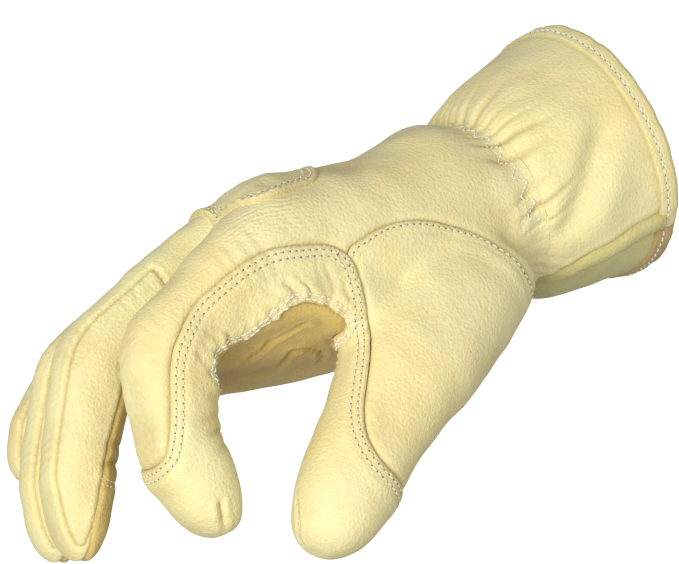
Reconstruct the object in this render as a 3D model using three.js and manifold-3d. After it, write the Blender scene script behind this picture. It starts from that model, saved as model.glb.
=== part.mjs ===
// Leather utility glove, right hand, worn shape: thumb and index finger close to a pinch.
// Millimetres. +X runs up the arm, +Z is the back of the hand, -Y is the thumb's side.
// The origin is the middle of the wrist, in the plane where the cuff is gathered.
import * as THREE from 'three';
import { mergeVertices } from 'three/addons/utils/BufferGeometryUtils.js';
import ManifoldModule from 'manifold-3d';

// ---- driving sizes ----
const WALL = 2.0;               // leather with its lining
const SEAM_GAP = 0.3;           // left open between neighbouring panels
const HAND_BEND = 12.5;         // degrees, the hand is bent back at the wrist
const HAND_TURN = -3.5;         // degrees, and turned a little to the side
const PALM_LENGTH = 86;         // wrist to the middle knuckle
const PALM_WIDTH = 84;
const PALM_DEPTH = 54;
const WRIST_WIDTH = 66;
const WRIST_DEPTH = 54;
const INDEX_LENGTH = 93;
const MIDDLE_LENGTH = 101;
const RING_LENGTH = 95.5;
const LITTLE_LENGTH = 72;
const FINGER_WIDTH = 24.4;
const THUMB_LENGTH = 106.7;
const THUMB_WIDTH = 28;
const WEB_SIZE = 19;            // thickness of the rolled edge between index finger and thumb
const CUFF_LENGTH = 44;
const MOUTH_WIDTH = 77.4;
const MOUTH_DEPTH = 77.6;
const HEM_WIDTH = 7.5;
const HEM_WALL = 3.0;           // the turned edge is two layers thick
const PATCH_WALL = 1.7;         // padded knuckle patch

// ---- how finely the sections are drawn ----
const FINGER_SIDES = 12;
const THUMB_SIDES = 14;
const PALM_SIDES = 32;
const WEB_SIDES = 10;
const CUFF_SIDES = 40;
const LINING_SHARE = 0.55;     // the inside is drawn with fewer sides and sections
const GATHER_FOLDS = 16;        // small folds round the elastic wrist
const GATHER_DEPTH = 0.9;

// ---- palm sections, from the wrist to the finger roots ----
// along: share of PALM_LENGTH; across: share of PALM_WIDTH; up: share of PALM_DEPTH
// open: 0 at the wrist's size, 1 at the palm's; wide, deep: shares of that size
// lean: tilt of the section in degrees; roll: its turn about the hand's length
const PALM = [
  { along: 0.000, across: 0.000, up: -0.009, open: 0.00, wide: 1.00, deep: 1.00, lean: 1.0, roll: 0, square: 2.1, gather: 1.0 },
  { along: 0.095, across: 0.000, up: -0.015, open: 0.06, wide: 1.00, deep: 1.01, lean: 0.65, roll: -2, square: 2.1, gather: 0.5 },
  { along: 0.210, across: 0.000, up: -0.046, open: 0.22, wide: 1.00, deep: 1.055, lean: 0.25, roll: -4, square: 2.2 },
  { along: 0.350, across: 0.000, up: -0.111, open: 0.50, wide: 1.00, deep: 1.03, lean: 0, roll: -7, square: 2.3 },
  { along: 0.535, across: 0.000, up: -0.157, open: 0.78, wide: 1.00, deep: 1.00, lean: 0, roll: -10, square: 2.4 },
  { along: 0.720, across: 0.012, up: -0.167, open: 1.00, wide: 1.00, deep: 0.98, lean: 0, roll: -11, square: 2.5 },
  { along: 0.905, across: 0.024, up: -0.195, open: 1.00, wide: 1.00, deep: 0.90, lean: -0.5, roll: -12, square: 2.5 },
  { along: 1.070, across: 0.036, up: -0.250, open: 1.00, wide: 0.98, deep: 0.80, lean: -1.1, roll: -12, square: 2.5 },
  { along: 1.185, across: 0.048, up: -0.296, open: 1.00, wide: 0.93, deep: 0.63, lean: -1.6, roll: -12, square: 2.5 },
];

// ---- fingers: knuckle place as shares of the palm, bones as shares of the finger ----
const FINGERS = {
  index: { length: INDEX_LENGTH, along: 0.943, across: -0.351, up: -0.009, bones: [0.458, 0.258, 0.284], bends: [32.9, 51.3, 17.8], turn: 1.7, wide: 1.0, deep: 1.0, strip: 0.3 },
  middle: { length: MIDDLE_LENGTH, along: 0.993, across: -0.079, up: 0.030, bones: [0.456, 0.283, 0.261], bends: [28.0, 38.6, 6.4], turn: -4.8, wide: 0.926, deep: 0.96 },
  ring: { length: RING_LENGTH, along: 1.005, across: 0.182, up: -0.060, bones: [0.444, 0.280, 0.276], bends: [25.0, 40.0, 8.3], turn: -5.8, wide: 0.885, deep: 0.92 },
  little: { length: LITTLE_LENGTH, along: 0.965, across: 0.429, up: -0.167, bones: [0.503, 0.252, 0.245], bends: [17.3, 27.4, 7.2], turn: -6.6, wide: 0.803, deep: 0.84 },
};
const BEND_SPREAD = [0.85, 0.69, 0.54];     // shares of the finger's width over which a joint bends
// sag moves the section to the palm's side; lined: the inside follows this section too
const FINGER_SHAPE = [
  { at: -0.42, wide: 0.70, deep: 0.80, sag: 0.14, lined: 1 },
  { at: -0.20, wide: 0.92, deep: 1.02, sag: 0.06, lined: 0 },
  { at: 0.00, wide: 1.02, deep: 1.10, sag: 0.02, lined: 1 },
  { at: 0.10, wide: 1.02, deep: 1.07, sag: 0.02, lined: 1 },
  { at: 0.20, wide: 1.00, deep: 1.04, sag: 0.00, lined: 1 },
  { at: 0.30, wide: 0.98, deep: 0.99, sag: 0.00, lined: 0 },
  { at: 0.38, wide: 0.98, deep: 0.99, sag: 0.00, lined: 1 },
  { at: 0.46, wide: 1.00, deep: 1.01, sag: -0.01, lined: 1 },
  { at: 0.54, wide: 0.98, deep: 0.98, sag: 0.00, lined: 1 },
  { at: 0.62, wide: 0.96, deep: 0.94, sag: 0.00, lined: 0 },
  { at: 0.70, wide: 0.95, deep: 0.91, sag: 0.00, lined: 1 },
  { at: 0.78, wide: 0.95, deep: 0.90, sag: 0.00, lined: 0 },
  { at: 0.86, wide: 0.90, deep: 0.80, sag: 0.02, lined: 1 },
  { at: 0.92, wide: 0.82, deep: 0.69, sag: 0.035, lined: 1 },
  { at: 0.96, wide: 0.68, deep: 0.54, sag: 0.05, lined: 1 },
  { at: 0.985, wide: 0.50, deep: 0.38, sag: 0.065, lined: 0 },
  { at: 1.00, wide: 0.26, deep: 0.20, sag: 0.075, lined: 0 },
];

// ---- thumb: root place as shares of the palm, bones as shares of the thumb ----
const THUMB = { along: 0.173, across: -0.235, up: -0.307, bones: [0.424, 0.290, 0.286], turns: [20.7, 12.0, 11.0], dips: [32.4, 42.9, 45.2], spread: 0.6 };
const THUMB_BACK = [0.49, -0.33, -0.8];     // way the thumb's back faces, in the glove's frame
// shares of THUMB_WIDTH: wide across the nail, deep from the pad to the back
const THUMB_SHAPE = [
  { at: 0.00, wide: 1.11, deep: 1.32, lined: 1 },
  { at: 0.10, wide: 1.25, deep: 1.39, lined: 0 },
  { at: 0.22, wide: 1.29, deep: 1.41, lined: 1 },
  { at: 0.33, wide: 1.25, deep: 1.41, lined: 0 },
  { at: 0.42, wide: 1.18, deep: 1.36, lined: 1 },
  { at: 0.50, wide: 1.11, deep: 1.23, lined: 1 },
  { at: 0.58, wide: 1.04, deep: 1.125, lined: 0 },
  { at: 0.66, wide: 1.00, deep: 1.05, lined: 1 },
  { at: 0.75, wide: 0.965, deep: 1.00, lined: 0 },
  { at: 0.82, wide: 0.93, deep: 0.95, lined: 1 },
  { at: 0.88, wide: 0.86, deep: 0.875, lined: 1 },
  { at: 0.93, wide: 0.75, deep: 0.75, lined: 1 },
  { at: 0.965, wide: 0.61, deep: 0.59, lined: 1 },
  { at: 0.99, wide: 0.39, deep: 0.375, lined: 0 },
  { at: 1.00, wide: 0.21, deep: 0.21, lined: 0 },
];

// ---- the web's rolled edge between index finger and thumb, places as shares of the palm ----
const WEB = [
  { along: 1.256, across: -0.369, up: -0.330, size: 0.85 },
  { along: 1.140, across: -0.369, up: -0.300, size: 1.00 },
  { along: 1.012, across: -0.369, up: -0.265, size: 1.10 },
  { along: 0.895, across: -0.369, up: -0.245, size: 1.15 },
  { along: 0.791, across: -0.369, up: -0.300, size: 1.15 },
  { along: 0.698, across: -0.363, up: -0.400, size: 1.15 },
  { along: 0.628, across: -0.357, up: -0.500, size: 1.05 },
];

// ---- cuff sections; wide and deep: 0 at the wrist's size, 1 at the mouth's ----
const CUFF = [
  { at: 0.00, up: -0.006, wide: 0.00, deep: 0.00, gather: 1.0 },
  { at: 0.09, up: 0.000, wide: 0.23, deep: 0.27, gather: 0.7 },
  { at: 0.22, up: 0.004, wide: 0.47, deep: 0.47, gather: 0.3 },
  { at: 0.42, up: 0.010, wide: 0.75, deep: 0.675, gather: 0 },
  { at: 0.64, up: 0.018, wide: 0.91, deep: 0.82, gather: 0 },
  { at: 0.83, up: 0.022, wide: 0.98, deep: 0.935, gather: 0 },
  { at: 1.00, up: 0.022, wide: 1.00, deep: 1.00, gather: 0 },
];

// long soft folds of the cuff: place along it, angle round it in degrees, reach, depth in walls
const CUFF_FOLDS = [
  { at: 0.20, angle: 204, long: 0.28, round: 22, deep: 0.55 },
  { at: 0.40, angle: 190, long: 0.28, round: 22, deep: 0.80 },
  { at: 0.60, angle: 172, long: 0.26, round: 22, deep: 0.70 },
  { at: 0.76, angle: 156, long: 0.22, round: 20, deep: 0.40 },
  { at: 0.45, angle: 20, long: 0.40, round: 24, deep: 0.60 },
];

// ---- small helpers ----
const rad = (deg) => deg * Math.PI / 180;
const clamp01 = (t) => Math.min(1, Math.max(0, t));
const smooth = (t) => clamp01(t) ** 2 * (3 - 2 * clamp01(t));
const mix = (a, b, t) => a + (b - a) * t;
const add = (a, b, k = 1) => [a[0] + b[0] * k, a[1] + b[1] * k, a[2] + b[2] * k];
const dot = (a, b) => a[0] * b[0] + a[1] * b[1] + a[2] * b[2];
const cross = (a, b) => [a[1] * b[2] - a[2] * b[1], a[2] * b[0] - a[0] * b[2], a[0] * b[1] - a[1] * b[0]];
const unit = (a) => { const l = Math.sqrt(dot(a, a)); return [a[0] / l, a[1] / l, a[2] / l]; };

// the row's values at a place between two rows of a table
function inTable(rows, at, key) {
  let i = 0;
  while (i < rows.length - 2 && at > rows[i + 1].at) i += 1;
  return mix(rows[i][key], rows[i + 1][key], clamp01((at - rows[i].at) / (rows[i + 1].at - rows[i].at)));
}

// hand frame to the glove's frame: a bend about Y, then a turn about Z
function wristBend([x, y, z]) {
  const b = rad(HAND_BEND);
  const t = rad(HAND_TURN);
  const bent = [x * Math.cos(b) + z * Math.sin(b), y, -x * Math.sin(b) + z * Math.cos(b)];
  return [bent[0] * Math.cos(t) - bent[1] * Math.sin(t), bent[0] * Math.sin(t) + bent[1] * Math.cos(t), bent[2]];
}
// a place in the palm from its shares
const palmPlace = (row) => [-row.along * PALM_LENGTH, row.across * PALM_WIDTH, row.up * PALM_DEPTH];

// sides of an outer or inner outline, kept even
const sidesFor = (count, inset) => (inset > 0 ? 2 * Math.round(count * LINING_SHARE / 2) : count);

// a closed rounded outline with half sizes a and b on two unit directions
function section(middle, side, up, a, b, square, sides) {
  const ring = [];
  for (let k = 0; k < sides; k += 1) {
    const t = 2 * Math.PI * (k + 0.5) / sides;
    const u = Math.sign(Math.cos(t)) * Math.abs(Math.cos(t)) ** (2 / square) * a;
    const v = Math.sign(Math.sin(t)) * Math.abs(Math.sin(t)) ** (2 / square) * b;
    ring.push(add(add(middle, side, u), up, v));
  }
  return ring;
}

// ---- solids ----
const wasm = await ManifoldModule();
wasm.setup();

// a closed solid from rings of points, each end capped with a fan round its middle
function loftPoints(rings) {
  const sides = rings[0].length;
  const positions = rings.flat(2);
  const middleOf = (ring) => ring.reduce((sum, p) => add(sum, p, 1 / ring.length), [0, 0, 0]);
  positions.push(...middleOf(rings[0]), ...middleOf(rings[rings.length - 1]));
  const first = rings.length * sides;
  const index = [];
  for (let k = 0; k < sides; k += 1) {
    const n = (k + 1) % sides;
    for (let i = 0; i < rings.length - 1; i += 1) {
      const a = i * sides;
      const b = a + sides;
      index.push(a + k, a + n, b + n, a + k, b + n, b + k);
    }
    const last = (rings.length - 1) * sides;
    index.push(first, n, k, first + 1, last + k, last + n);
  }
  const geometry = new THREE.BufferGeometry();
  geometry.setAttribute('position', new THREE.Float32BufferAttribute(positions, 3));
  geometry.setIndex(index);
  return geometry;
}
function solidFrom(geometry) {
  const bare = geometry.clone();
  bare.deleteAttribute('normal');
  bare.deleteAttribute('uv');
  const merged = mergeVertices(bare, 1e-4);
  const vertProperties = new Float32Array(merged.attributes.position.array);
  const triVerts = new Uint32Array(merged.index.array);
  const make = () => new wasm.Manifold(new wasm.Mesh({ numProp: 3, vertProperties, triVerts }));
  const solid = make();
  if (solid.volume() > 0) return solid;
  for (let i = 0; i < triVerts.length; i += 3) {
    const swap = triVerts[i];
    triVerts[i] = triVerts[i + 1];
    triVerts[i + 1] = swap;
  }
  return make();
}
const loft = (rings) => solidFrom(loftPoints(rings));
const joined = (solids) => solids.reduce((all, next) => all.add(next));

// ---- palm ----
// pulls every other point of an outer ring inwards, as the elastic gathers the leather
function gathered(ring, share, inset) {
  if (inset > 0 || !share) return ring;
  const middle = ring.reduce((sum, p) => add(sum, p, 1 / ring.length), [0, 0, 0]);
  return ring.map((p, k) => {
    const fold = Math.cos(2 * Math.PI * k * GATHER_FOLDS / ring.length);
    return add(p, unit(add(middle, p, -1)), share * GATHER_DEPTH * (1 - fold) / 2);
  });
}
function palmRing(row, inset) {
  const lean = rad(-HAND_BEND * row.lean);
  const roll = rad(row.roll);
  const side0 = [0, 1, 0];
  const up0 = [Math.sin(lean), 0, Math.cos(lean)];
  const side = add([0, 0, 0], side0, Math.cos(roll));
  const sideTilted = add(side, up0, Math.sin(roll));
  const up = add(add([0, 0, 0], up0, Math.cos(roll)), side0, -Math.sin(roll));
  const wide = mix(WRIST_WIDTH, PALM_WIDTH, row.open) * row.wide / 2 - inset;
  const deep = mix(WRIST_DEPTH, PALM_DEPTH, row.open) * row.deep / 2 - inset;
  const ring = section(palmPlace(row), sideTilted, up, wide, deep, row.square, sidesFor(PALM_SIDES, inset));
  return gathered(ring, row.gather, inset).map(wristBend);
}
function palmSolid(inset) {
  // the inside stops a wall short of the outside's closed end
  const short = Math.max(inset, 0) / PALM_LENGTH;
  const rows = PALM.map((row, i) => {
    const along = row.along - (i === PALM.length - 1 ? short * 1.2 : 0);
    return palmRing({ ...row, along }, inset);
  });
  // the wrist end lies in the gather's plane; the inner body runs on through it
  rows[0] = cuffRing(CUFF[0], inset, PALM_SIDES).map(([x, y, z]) => [x - SEAM_GAP / 2, y, z]);
  if (inset > 0) rows.unshift(rows[0].map(([x, y, z]) => [x + WALL, y, z]));
  return loft(rows);
}

// ---- cuff ring at a table row ----
function cuffRing(row, inset, sides) {
  const wide = mix(WRIST_WIDTH, MOUTH_WIDTH, row.wide) / 2 - inset;
  const deep = mix(WRIST_DEPTH, MOUTH_DEPTH, row.deep) / 2 - inset;
  const middle = [row.at * CUFF_LENGTH, 0, row.up * MOUTH_DEPTH];
  const ring = section(middle, [0, 1, 0], [0, 0, 1], wide, deep, 2.1, sidesFor(sides, inset));
  const dented = ring.map((p) => {
    const angle = (Math.atan2(p[2] - middle[2], p[1]) * 180 / Math.PI + 360) % 360;
    const depth = CUFF_FOLDS.reduce((sum, fold) => {
      const along = Math.max(0, 1 - Math.abs(row.at - fold.at) / fold.long);
      const round = Math.max(0, 1 - Math.abs(angle - fold.angle) / fold.round);
      return sum + fold.deep * WALL * smooth(along) * smooth(round);
    }, 0);
    return add(p, unit(add(middle, p, -1)), depth);
  });
  return gathered(dented, row.gather, inset);
}

// ---- finger ----
// place, side and up directions at a share of the finger's length
function fingerPlace(finger, share) {
  const turn = rad(finger.turn);
  const ahead = [-Math.cos(turn), -Math.sin(turn), 0];
  const side = [-Math.sin(turn), Math.cos(turn), 0];
  const joints = [0, finger.bones[0] * finger.length, (finger.bones[0] + finger.bones[1]) * finger.length];
  const angleAt = (s) => joints.reduce((sum, joint, k) => sum
    + rad(finger.bends[k]) * smooth((s - joint) / (BEND_SPREAD[k] * FINGER_WIDTH) + 0.5), 0);
  const wayAt = (s) => add(add([0, 0, 0], ahead, Math.cos(angleAt(s))), [0, 0, -1], Math.sin(angleAt(s)));
  const end = share * finger.length;
  const steps = 60;
  let place = palmPlace(finger);
  for (let i = 0; i < steps; i += 1) place = add(place, wayAt(end * (i + 0.5) / steps), end / steps);
  const angle = angleAt(end);
  const up = add(add([0, 0, 0], ahead, Math.sin(angle)), [0, 0, 1], Math.cos(angle));
  return { place, side, up, way: wayAt(end) };
}
function fingerRing(finger, share, inset) {
  const at = share;
  const { place, side, up } = fingerPlace(finger, share - inset / finger.length * (share >= 1 ? 1 : 0));
  const wide = Math.max(inTable(FINGER_SHAPE, at, 'wide') * finger.wide * FINGER_WIDTH / 2 - inset, 0.9);
  const deep = Math.max(inTable(FINGER_SHAPE, at, 'deep') * finger.deep * FINGER_WIDTH / 2 - inset, 0.7);
  const middle = add(place, up, -inTable(FINGER_SHAPE, at, 'sag') * FINGER_WIDTH);
  return section(middle, side, up, wide, deep, 2.3, sidesFor(FINGER_SIDES, inset)).map(wristBend);
}
function fingerSolid(finger, inset) {
  const rows = FINGER_SHAPE.filter((row) => inset <= 0 || row.lined);
  const start = Math.max(inset, 0) * 1.2 / finger.length;
  return loft(rows.map((row, i) => fingerRing(finger, row.at + (i === 0 ? start : 0), inset)));
}

// ---- thumb ----
function thumbPlace(share) {
  const joints = [THUMB.bones[0] * THUMB_LENGTH, (THUMB.bones[0] + THUMB.bones[1]) * THUMB_LENGTH];
  const wayAt = (s) => {
    let turn = THUMB.turns[0];
    let dip = THUMB.dips[0];
    joints.forEach((joint, k) => {
      const part = smooth((s - joint) / (THUMB.spread * THUMB_WIDTH) + 0.5);
      turn += (THUMB.turns[k + 1] - THUMB.turns[k]) * part;
      dip += (THUMB.dips[k + 1] - THUMB.dips[k]) * part;
    });
    const t = rad(turn);
    const d = rad(dip);
    return [-Math.cos(d) * Math.cos(t), -Math.cos(d) * Math.sin(t), -Math.sin(d)];
  };
  const end = share * THUMB_LENGTH;
  const steps = 60;
  let place = palmPlace(THUMB);
  for (let i = 0; i < steps; i += 1) place = add(place, wayAt(end * (i + 0.5) / steps), end / steps);
  place = wristBend(place);
  const way = wristBend(wayAt(end));
  const up = unit(add(THUMB_BACK, way, -dot(THUMB_BACK, way)));
  return { place, way, up, side: cross(up, way) };
}
function thumbRing(share, inset) {
  const { place, side, up } = thumbPlace(share - inset / THUMB_LENGTH * (share >= 1 ? 1 : 0));
  const wide = Math.max(inTable(THUMB_SHAPE, share, 'wide') * THUMB_WIDTH / 2 - inset, 0.9);
  const deep = Math.max(inTable(THUMB_SHAPE, share, 'deep') * THUMB_WIDTH / 2 - inset, 0.9);
  return section(place, side, up, wide, deep, 2.2, sidesFor(THUMB_SIDES, inset));
}
function thumbSolid(inset) {
  const rows = THUMB_SHAPE.filter((row) => inset <= 0 || row.lined);
  const start = Math.max(inset, 0) * 1.2 / THUMB_LENGTH;
  return loft(rows.map((row, i) => thumbRing(row.at + (i === 0 ? start : 0), inset)));
}

// ---- web ----
function webSolid(inset) {
  const places = WEB.map((row) => wristBend(palmPlace(row)));
  const last = places.length - 1;
  const short = Math.max(inset, 0) * 1.2;
  places[0] = add(places[0], unit(add(places[1], places[0], -1)), short);
  places[last] = add(places[last], unit(add(places[last - 1], places[last], -1)), short);
  const rings = WEB.map((row, i) => {
    const way = unit(add(places[Math.min(i + 1, WEB.length - 1)], places[Math.max(i - 1, 0)], -1));
    const side = unit(cross(way, cross([0, 1, 0], way)));
    const half = row.size * WEB_SIZE / 2 - inset;
    return section(places[i], side, cross(way, side), half, half, 2, sidesFor(WEB_SIDES, inset));
  });
  return loft(rings);
}

function handSolid(inset) {
  const fingers = Object.values(FINGERS).map((finger) => fingerSolid(finger, inset));
  return joined([palmSolid(inset), webSolid(inset), thumbSolid(inset), ...fingers]);
}

// ---- regions that part the hand's shell into its leather panels ----
// a straight-sided solid from an outline, grown outwards by a margin
function grown(outline, margin) {
  const area = outline.reduce((sum, p, i) => {
    const q = outline[(i + 1) % outline.length];
    return sum + p[0] * q[1] - q[0] * p[1];
  }, 0);
  const out = area > 0 ? 1 : -1;
  return outline.map((p, i) => {
    const a = outline[(i + outline.length - 1) % outline.length];
    const b = outline[(i + 1) % outline.length];
    const wayIn = unit([p[0] - a[0], p[1] - a[1], 0]);
    const wayOut = unit([b[0] - p[0], b[1] - p[1], 0]);
    const normal = unit([(wayIn[1] + wayOut[1]) * out, -(wayIn[0] + wayOut[0]) * out, 0]);
    const stretch = 1 / Math.max(0.5, normal[0] * wayIn[1] * out - normal[1] * wayIn[0] * out);
    return [p[0] + normal[0] * margin * stretch, p[1] + normal[1] * margin * stretch];
  });
}
// place: turns outline coordinates and depth into a point of the hand frame
function prism(outline, from, to, margin, place) {
  const shape = new THREE.Shape(grown(outline, margin).map(([u, v]) => new THREE.Vector2(u, v)));
  const geometry = new THREE.ExtrudeGeometry(shape, { depth: to - from + 2 * margin, bevelEnabled: false });
  const position = geometry.attributes.position;
  for (let i = 0; i < position.count; i += 1) {
    const point = place(position.getX(i), position.getY(i), from - margin + position.getZ(i));
    position.setXYZ(i, ...wristBend(point));
  }
  return solidFrom(geometry);
}
const sideways = (u, v, w) => [-u * PALM_LENGTH, w * PALM_WIDTH, v * PALM_DEPTH];
const downwards = (u, v, w) => [-u * PALM_LENGTH, v * PALM_WIDTH, w * PALM_DEPTH];
// outlines are drawn in shares, so a margin in millimetres is a share too
const share = (margin) => margin / PALM_DEPTH;

// side strips of one finger between the back's seam and the front's seam
const STRIP = [
  { at: 0.06, back: 0.72, front: -0.62 },
  { at: 0.30, back: 0.74, front: -0.62 },
  { at: 0.50, back: 0.76, front: -0.60 },
  { at: 0.70, back: 0.78, front: -0.52 },
  { at: 0.84, back: 0.72, front: -0.38 },
  { at: 0.92, back: 0.58, front: -0.22 },
  { at: 0.965, back: 0.34, front: -0.08 },
];
const STRIP_INSIDE = 0.42;                  // share of the half width where a strip starts
function stripSolid(finger, way, reach, margin) {
  const half = finger.wide * FINGER_WIDTH / 2;
  const rows = [...STRIP];
  const rings = rows.map((row, i) => {
    const end = i === 0 ? -margin : i === rows.length - 1 ? margin : 0;
    const { place, side, up } = fingerPlace(finger, row.at + end / finger.length);
    const deep = finger.deep * FINGER_WIDTH / 2 * inTable(FINGER_SHAPE, row.at, 'deep');
    const near = (half * STRIP_INSIDE - margin) * way;
    const far = (half + reach) * way;
    const top = row.back * (finger.strip ?? 1) * deep + margin;
    const low = row.front * deep - margin;
    const corner = (a, b) => wristBend(add(add(place, side, a), up, b));
    return [corner(near, low), corner(far, low), corner(far, top), corner(near, top)];
  });
  return loft(rings);
}
function fourchetteRegion(a, b, margin) {
  const reach = FINGER_WIDTH * 0.035;
  return stripSolid(a, 1, reach, margin).add(stripSolid(b, -1, reach, margin));
}

// the double-stitched grip panel; along and up as shares of the palm
const GRIP_EDGE = [
  [1.80, -1.05], [1.500, -1.000], [1.452, -0.785], [1.424, -0.567], [1.414, -0.513],
  [1.393, -0.431], [1.363, -0.372], [1.320, -0.290], [1.274, -0.226], [1.219, -0.185],
  [1.173, -0.148], [1.130, -0.115], [1.083, -0.090], [1.031, -0.066], [0.964, -0.058],
  [0.886, -0.072], [0.806, -0.085], [0.757, -0.135], [0.730, -0.210], [0.728, -0.300],
  [0.726, -0.400], [0.730, -0.552], [0.760, -0.644], [0.795, -0.750], [0.832, -0.848],
  [0.862, -0.935], [0.885, -1.065], [0.862, -1.200], [0.775, -1.354], [0.70, -1.60],
  [0.70, -2.30], [2.10, -2.30], [2.10, -1.30],
];
const GRIP_DEEP_FROM = -0.574;              // below this the panel wraps the whole finger and thumb
const GRIP_NEAR = -0.330;                   // above it, the panel ends at the web's rolled edge
const GRIP_WRAP = -0.205;
// the panel's free edge arches over the gap between index finger and thumb
const WEB_ARCH = [
  [1.268, -0.563], [1.196, -0.467], [1.099, -0.444], [1.031, -0.407], [0.987, -0.365],
  [0.942, -0.345], [0.878, -0.374], [0.817, -0.431], [0.784, -0.495], [0.800, -0.560],
  [0.860, -0.620], [1.150, -0.620], [1.240, -0.600],
];
function gripRegion(margin) {
  const near = prism(GRIP_EDGE, -1, GRIP_NEAR, share(margin), sideways);
  const low = [[2.2, GRIP_DEEP_FROM], [0.5, GRIP_DEEP_FROM], [0.5, -2.4], [2.2, -2.4]];
  const wrap = prism(GRIP_EDGE, -1, GRIP_WRAP, share(margin), sideways)
    .intersect(prism(low, -1.1, 0, share(margin), sideways));
  return near.add(wrap).subtract(prism(WEB_ARCH, -1, GRIP_WRAP, -share(margin), sideways));
}

// the thumb's outer panel, with its curved seam over the ball of the thumb
const THUMB_EDGE = [
  [0.748, -0.130], [0.690, -0.104], [0.627, -0.065], [0.569, -0.048], [0.498, -0.052],
  [0.430, -0.069], [0.367, -0.106], [0.295, -0.154], [0.235, -0.207], [0.200, -0.269],
  [0.155, -0.346], [0.127, -0.428], [0.098, -0.500], [0.03, -0.85], [0.25, -2.30],
  [1.40, -2.30], [1.40, -1.40], [1.05, -1.10], [0.95, -0.80], [0.78, -0.56], [0.76, -0.35],
];
const THUMB_FAR = -0.119;
const thumbRegion = (margin) => prism(THUMB_EDGE, -1.2, THUMB_FAR, share(margin), sideways);

// everything above the side seams belongs to the back of the hand
const SIDE_SEAM = [[-1.0, -0.34], [-0.48, -0.30], [0.50, -0.19], [1.0, -0.12], [1.0, 2.0], [-1.0, 2.0]];
const BACK_AT_WRIST = [[-0.20, -0.44], [0.16, -0.44], [0.30, -0.10], [-0.20, 0.0]];
const WRIST_FAR = -0.10;
const BACK_OF_FINGER = { index: -0.55, middle: 0.0, ring: 0.0, little: -0.12 };
function backRegion(margin) {
  const across = (u, v, w) => [-w * PALM_LENGTH, u * PALM_WIDTH, v * PALM_DEPTH];
  const palmPart = prism(SIDE_SEAM, -0.4, 1.08, share(margin), across);
  const fingerParts = Object.entries(FINGERS).map(([name, finger]) => {
    const rings = [-0.1, 0.1, 0.2, 0.35, 0.44, 0.52, 0.62, 0.72, 0.85, 1.0].map((at) => {
      const { place, side, up } = fingerPlace(finger, at === 1 ? 1.08 : at);
      const deep = finger.deep * FINGER_WIDTH / 2;
      const reach = finger.wide * FINGER_WIDTH / 2 + FINGER_WIDTH * 0.03;
      const tipShift = at > 0.8 ? 0.25 : 0;
      const low = (BACK_OF_FINGER[name] - tipShift * (name === 'index' ? 0 : 1)) * deep - margin;
      const corner = (a, b) => wristBend(add(add(place, side, a), up, b));
      return [corner(-reach, low), corner(reach, low), corner(reach, deep * 1.6), corner(-reach, deep * 1.6)];
    });
    return loft(rings);
  });
  const wristPart = prism(BACK_AT_WRIST, -1, WRIST_FAR, share(margin), sideways);
  return joined([palmPart, wristPart, ...fingerParts]);
}

// ---- knuckle patch: along and across as shares of the palm ----
const PATCH_EDGE = [
  [0.665, -0.14], [0.680, -0.27], [0.724, -0.372], [0.806, -0.402], [0.921, -0.444],
  [1.000, -0.425], [1.035, -0.34], [1.045, -0.20], [1.050, -0.06], [1.045, 0.14],
  [1.020, 0.33], [0.960, 0.42], [0.860, 0.43], [0.760, 0.36], [0.690, 0.20], [0.665, 0.02],
];
const PATCH_LOW = -0.25;
function patchSolid() {
  const skin = handSolid(-SEAM_GAP - PATCH_WALL).subtract(handSolid(-SEAM_GAP));
  return skin.intersect(prism(PATCH_EDGE, PATCH_LOW, 2, 0, downwards));
}

// ---- cuff and its turned edge ----
const cuffAt = (at) => {
  const row = { at };
  ['up', 'wide', 'deep', 'gather'].forEach((key) => { row[key] = inTable(CUFF, at, key); });
  return row;
};
function cuffShell(from, to, wall) {
  const extra = (wall - WALL) / 2;
  const inside = CUFF.map((row) => row.at).filter((at) => at > from + 0.01 && at < to - 0.01);
  const stations = [from, ...inside, to];
  const outerRings = stations.map((at) => cuffRing(cuffAt(at), -extra, CUFF_SIDES));
  const innerRings = stations.map((at) => cuffRing(cuffAt(at), WALL + extra, CUFF_SIDES));
  const run = WALL;
  innerRings.unshift(innerRings[0].map(([x, y, z]) => [x - run, y, z]));
  innerRings.push(innerRings[innerRings.length - 1].map(([x, y, z]) => [x + run, y, z]));
  return loft(outerRings).subtract(loft(innerRings));
}
// the palm's side of the cuff, between its two seams, as a wedge round the axis
const SEAM_AT = [-0.2, 0.3, 1.2];
const CUFF_SEAM = { near: [262, 224, 217], far: [278, 316, 323] };
const HEM_SEAM = { near: [229, 229, 229], far: [325, 325, 325] };
function frontWedge(seam, margin) {
  const reach = MOUTH_WIDTH + MOUTH_DEPTH;
  const ends = SEAM_AT.map((at, k) => {
    const x = at * CUFF_LENGTH;
    const mid = [x, 0, 0];
    const corner = (angle, turn) => {
      const t = rad(angle);
      const out = add(mid, [0, Math.cos(t), Math.sin(t)], reach);
      return add(out, [0, Math.sin(t), -Math.cos(t)], turn * margin);
    };
    const top = [x, 0, margin * 1.5];
    return [top, corner(seam.near[k], 1), add(mid, [0, 0, -1], reach * 2), corner(seam.far[k], -1)];
  });
  return loft(ends);
}

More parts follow.
